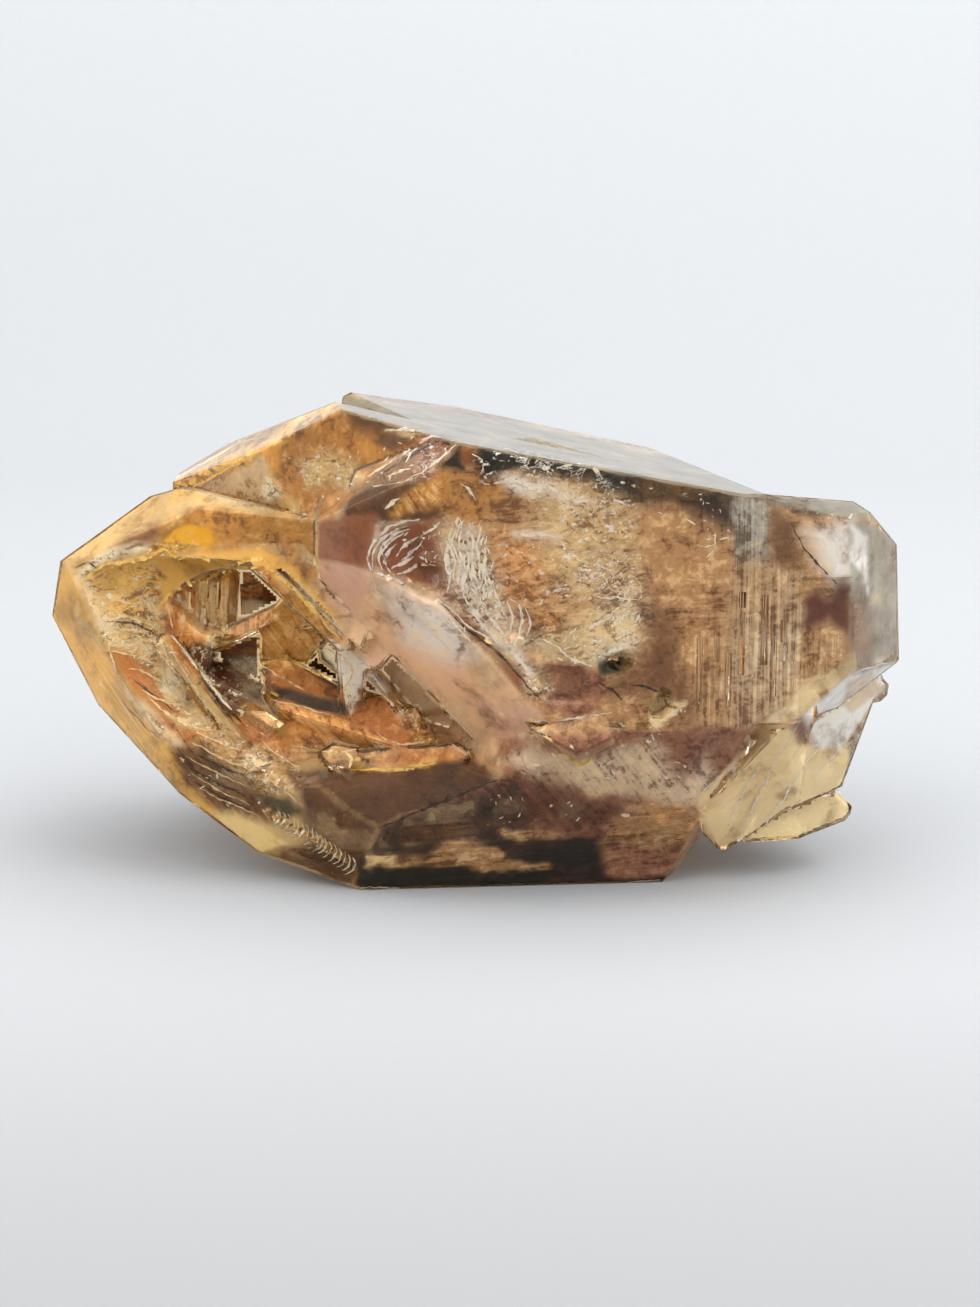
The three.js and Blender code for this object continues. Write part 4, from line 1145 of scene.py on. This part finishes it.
def smooth_curve(line):
    """Closely spaced points on a smooth curve through a line of pixels."""
    points = []
    for k in range(len(line) - 1):
        before = line[max(k - 1, 0)]
        start, end = line[k], line[k + 1]
        after = line[min(k + 2, len(line) - 1)]
        steps = max(2, int(math.dist(start, end) / CURVE_STEP_PIXELS))
        for step in range(steps + (k == len(line) - 2)):
            t = step / steps
            points.append([
                0.5 * (2 * start[i] + (end[i] - before[i]) * t
                       + (2 * before[i] - 5 * start[i] + 4 * end[i] - after[i]) * t * t
                       + (3 * start[i] - before[i] - 3 * end[i] + after[i]) * t ** 3)
                for i in (0, 1)
            ])
    return points


def waver(points, width):
    """Moves a curve's points by a few pixels, as a natural crack wavers."""
    slow, fine = WAVER_REACH
    for point in points:
        sway = Vector((point[0] * WAVER_PITCH, point[1] * WAVER_PITCH, 10 * width))
        point[0] += slow * noise.noise(sway) + fine * noise.noise(sway * 3)
        point[1] += slow * noise.noise(sway + Vector((0, 0, 5))) + fine * noise.noise(sway * 3.3)


def add_seams(name, seams, depth, material):
    """Thin ribbons, depth (mm) below the faces that the camera sees, along lines of photograph pixels."""
    vertices = []
    faces = []
    for width, line in seams:
        points = smooth_curve(line)
        waver(points, width)
        final = len(points) - 1
        last = None
        for k, point in enumerate(points):
            found = beneath(point, RIBBON_LEAST_FACING)
            if found is None:
                last = None
                continue
            place, normal, inward = found
            middle = place + inward * depth * MM
            ahead = points[min(k + 1, final)]
            behind = points[max(k - 1, 0)]
            run = CAMERA_RIGHT * (ahead[0] - behind[0]) - CAMERA_UP * (ahead[1] - behind[1])
            side = normal.cross(run).normalized()
            from_start = RIBBON_TIP + RIBBON_GROWTH * k / len(points)
            from_end = RIBBON_TIP + RIBBON_GROWTH * (final - k) / len(points)
            along = Vector((point[0] * RIBBON_SWELL_PITCH, point[1] * RIBBON_SWELL_PITCH, width))
            swell = 1.15 + RIBBON_SWELL * noise.noise(along)
            ragged = 1 + RIBBON_RAGGEDNESS * RANDOM.uniform(-1, 1)
            half = width * HALF_PIXEL * min(1.0, from_start, from_end) * swell * ragged
            if not is_inside(middle, LEAST_DEPTH):
                last = None
                continue
            vertices += [middle - side * half, middle + side * half]
            here = len(vertices) - 2
            if last is not None and (vertices[last] - vertices[here]).length < LONGEST_RIBBON_STEP:
                faces.append((last, last + 1, here + 1, here))
            last = here
    for vertex in vertices:
        vertex.z = max(vertex.z, LEAST_DEPTH)
    add_sheets(name, vertices, faces, material)


def add_flakes(name, material):
    """Small ragged cracks that glint, tilted at random just beneath the faces."""
    vertices = []
    faces = []
    for count, size, outline in FLAKE_SWARMS:
        for pixel in scattered(count, outline):
            found = beneath(pixel, FLAKE_LEAST_FACING)
            if found is None:
                continue
            place, normal, inward = found
            middle = place + inward * RANDOM.uniform(*FLAKE_DEPTHS) * MM
            lean = Vector([RANDOM.gauss(0, FLAKE_TILT) for _ in range(3)])
            upright = (normal + lean).normalized()
            along = upright.cross(Vector((RANDOM.random(), RANDOM.random(), 1))).normalized()
            across = upright.cross(along)
            reach = size * MM * RANDOM.uniform(0.25, 1.0) ** 1.5
            slim = RANDOM.uniform(*FLAKE_SLIMNESS)
            corners = RANDOM.randint(*FLAKE_CORNERS)
            rim = []
            for k in range(corners):
                turn = 2 * math.pi * (k + RANDOM.uniform(-0.3, 0.3)) / corners
                far = reach * RANDOM.uniform(*FLAKE_RIM)
                rim.append(middle + along * math.cos(turn) * far + across * math.sin(turn) * far * slim)
            if all(is_inside(corner, FLAKE_LEAST_DEPTH) for corner in rim):
                faces.append(tuple(range(len(vertices), len(vertices) + corners)))
                vertices += rim
    add_sheets(name, vertices, faces, material)


def glint_dashes():
    """Short white cracks, painted glints, scattered in clusters through the broken parts."""
    dashes = []
    for count, length, slope, spread, outline in DASH_SWARMS:
        for x, y in scattered(count, outline):
            if noise.noise(Vector((x * 0.05, y * 0.05, slope))) < DASH_CLUSTER_LEVEL:
                continue
            turn = math.radians(slope + RANDOM.gauss(0, spread))
            reach = length * RANDOM.uniform(*DASH_LENGTHS)
            bend = RANDOM.uniform(-DASH_BEND, DASH_BEND)
            dashes.append((RANDOM.uniform(*DASH_WIDTHS), [
                (x, y),
                (x + reach * 0.5 * math.cos(turn), y - reach * 0.5 * math.sin(turn)),
                (x + reach * math.cos(turn + bend), y - reach * math.sin(turn + bend)),
            ]))
    return dashes


def scalloped_curls():
    """The row of curled ripples on the left crystal's lower edge, as narrow white arcs."""
    curls = []
    for k in range(CURL_COUNT):
        across = FIRST_CURL[0] + CURL_STEP[0] * k
        down = FIRST_CURL[1] + CURL_STEP[1] * k + CURL_BEND * k * k
        curls.append((CURL_WIDTH, [(across + x, down + y) for x, y in CURL_LINE]))
    return curls


def make_fractures():
    """The ribbons of each kind: their lines, depth, colour, roughness and cover. Then the flakes."""
    # The white ribbons are partly painted glints, and the wall ribbons are partly painted highlights.
    white_cracks_and_glints = WHITE_SEAMS + scalloped_curls() + glint_dashes()
    for kind, lines, depth, color, roughness, cover in (
        ("white", white_cracks_and_glints, 0.18, tint(255, 250, 240), 0.3, 1.0),
        ("wall", WALL_SEAMS, 0.18, tint(255, 232, 196), 0.3, 0.95),
        ("golden", GOLDEN_SEAMS, 0.18, tint(250, 215, 130), 0.35, 1.0),
        ("dark", DARK_SEAMS, 0.2, tint(50, 30, 24), 0.4, 0.9),
    ):
        add_seams(kind + "_seams", lines, depth, seam_material(kind + "_fracture", color, roughness, cover))
    add_flakes("glinting_flakes", seam_material("glinting_crack", tint(255, 240, 215), 0.18, 0.95))


# ---- The floor and the light ----

# The floor's colours: under and behind the cluster, in front of it, in its grain, and up the backdrop.
FLOOR_COLOR = (0.285, 0.295, 0.31)
FLOOR_FRONT_COLOR = (0.2, 0.205, 0.212)
FLOOR_GRAIN_COLOR = (0.2, 0.2, 0.2)
BACKDROP_COLOR = (0.41, 0.435, 0.46)

# The floor and the light are measured in metres.
FLOOR_BACK = 0.28
BACKDROP_BEND = 0.25
BACKDROP_BEND_STEPS = 12
BACKDROP_TOP = 1.1
# The rim that hides the floor's end in the side views: how far out and how high, outermost first.
FLOOR_RIM = [(2.7, 0.25), (2.6, 0.12), (2.45, 0.03), (2.3, 0.0), (2.2, 0.0)]

KEY_PLACE = Vector((0.25, 0.3, 0.95))
KEY_TARGET = Vector((0, 0, 0.03))
KEY_SIZE = (1.5, 1.2)
KEY_POWER = 20

STUDIO_COLOR = (1.0, 0.985, 0.96)
STUDIO_DIM = 0.6
STUDIO_BRIGHT = 4.0
STUDIO_SHARE_OF_HEIGHT = 0.42


def floor_material():
    g = material_graph("pale_floor")
    place = g.place()
    _, depth, height = g.split(place)
    color = g.mix(g.ramp(height, 0.0, 0.25), FLOOR_COLOR, BACKDROP_COLOR)
    color = g.mix(g.ramp(depth, -0.01, -0.16), color, FLOOR_FRONT_COLOR)
    color = g.mix(g.times(g.noise(place, 400, detail=2), 0.08), color, FLOOR_GRAIN_COLOR)
    principled = g.node("BsdfPrincipled", {"Base Color": color, "Roughness": 0.8, "Specular IOR Level": 0.15})
    return g.finish(principled.outputs[0])


def make_floor():
    """A pale floor that curves up into a backdrop and has a low rim on its other sides."""
    sides = [(-x, rise) for x, rise in FLOOR_RIM] + FLOOR_RIM[::-1]
    profile = [(-y, rise) for y, rise in FLOOR_RIM] + [(FLOOR_BACK, 0.0)]
    for k in range(1, BACKDROP_BEND_STEPS + 1):
        turn = k / BACKDROP_BEND_STEPS * math.pi / 2
        profile.append((FLOOR_BACK + BACKDROP_BEND * math.sin(turn), BACKDROP_BEND * (1 - math.cos(turn))))
    profile.append((FLOOR_BACK + BACKDROP_BEND, BACKDROP_TOP))
    vertices = [(x, y, z + rise) for y, z in profile for x, rise in sides]
    wide = len(sides)
    corners = [wide * row + k for row in range(len(profile) - 1) for k in range(wide - 1)]
    mesh = bpy.data.meshes.new("floor")
    mesh.from_pydata(vertices, [], [(c, c + 1, c + wide + 1, c + wide) for c in corners])
    mesh.shade_smooth()
    mesh.materials.append(floor_material())
    add_object("floor", mesh)


def make_key_light():
    """A large soft light above the cluster."""
    data = bpy.data.lights.new("key", "AREA")
    data.shape = "RECTANGLE"
    data.size, data.size_y = KEY_SIZE
    data.energy = KEY_POWER
    light = add_object("key", data)
    light.location = KEY_PLACE
    light.rotation_euler = (KEY_TARGET - KEY_PLACE).to_track_quat("-Z", "Y").to_euler()


def make_world():
    """A studio surround that is bright at the sides and dim in front and behind."""
    world = bpy.data.worlds.new("studio")
    bpy.context.scene.world = world
    world.use_nodes = True
    g = Graph(world)
    across, _, up = g.split(g.node("TexCoord").outputs["Generated"])
    share = g.plus(g.times(up, STUDIO_SHARE_OF_HEIGHT), g.math("ABSOLUTE", across))
    background = world.node_tree.nodes["Background"]
    g.feed(background.inputs["Color"], STUDIO_COLOR)
    g.feed(background.inputs["Strength"], g.ramp(share, 0.3, 0.95, STUDIO_DIM, STUDIO_BRIGHT))


make_camera()
make_world()
make_floor()
make_key_light()
make_cluster()
make_clouds()
make_fractures()
bpy.context.scene.view_settings.view_transform = "Standard"
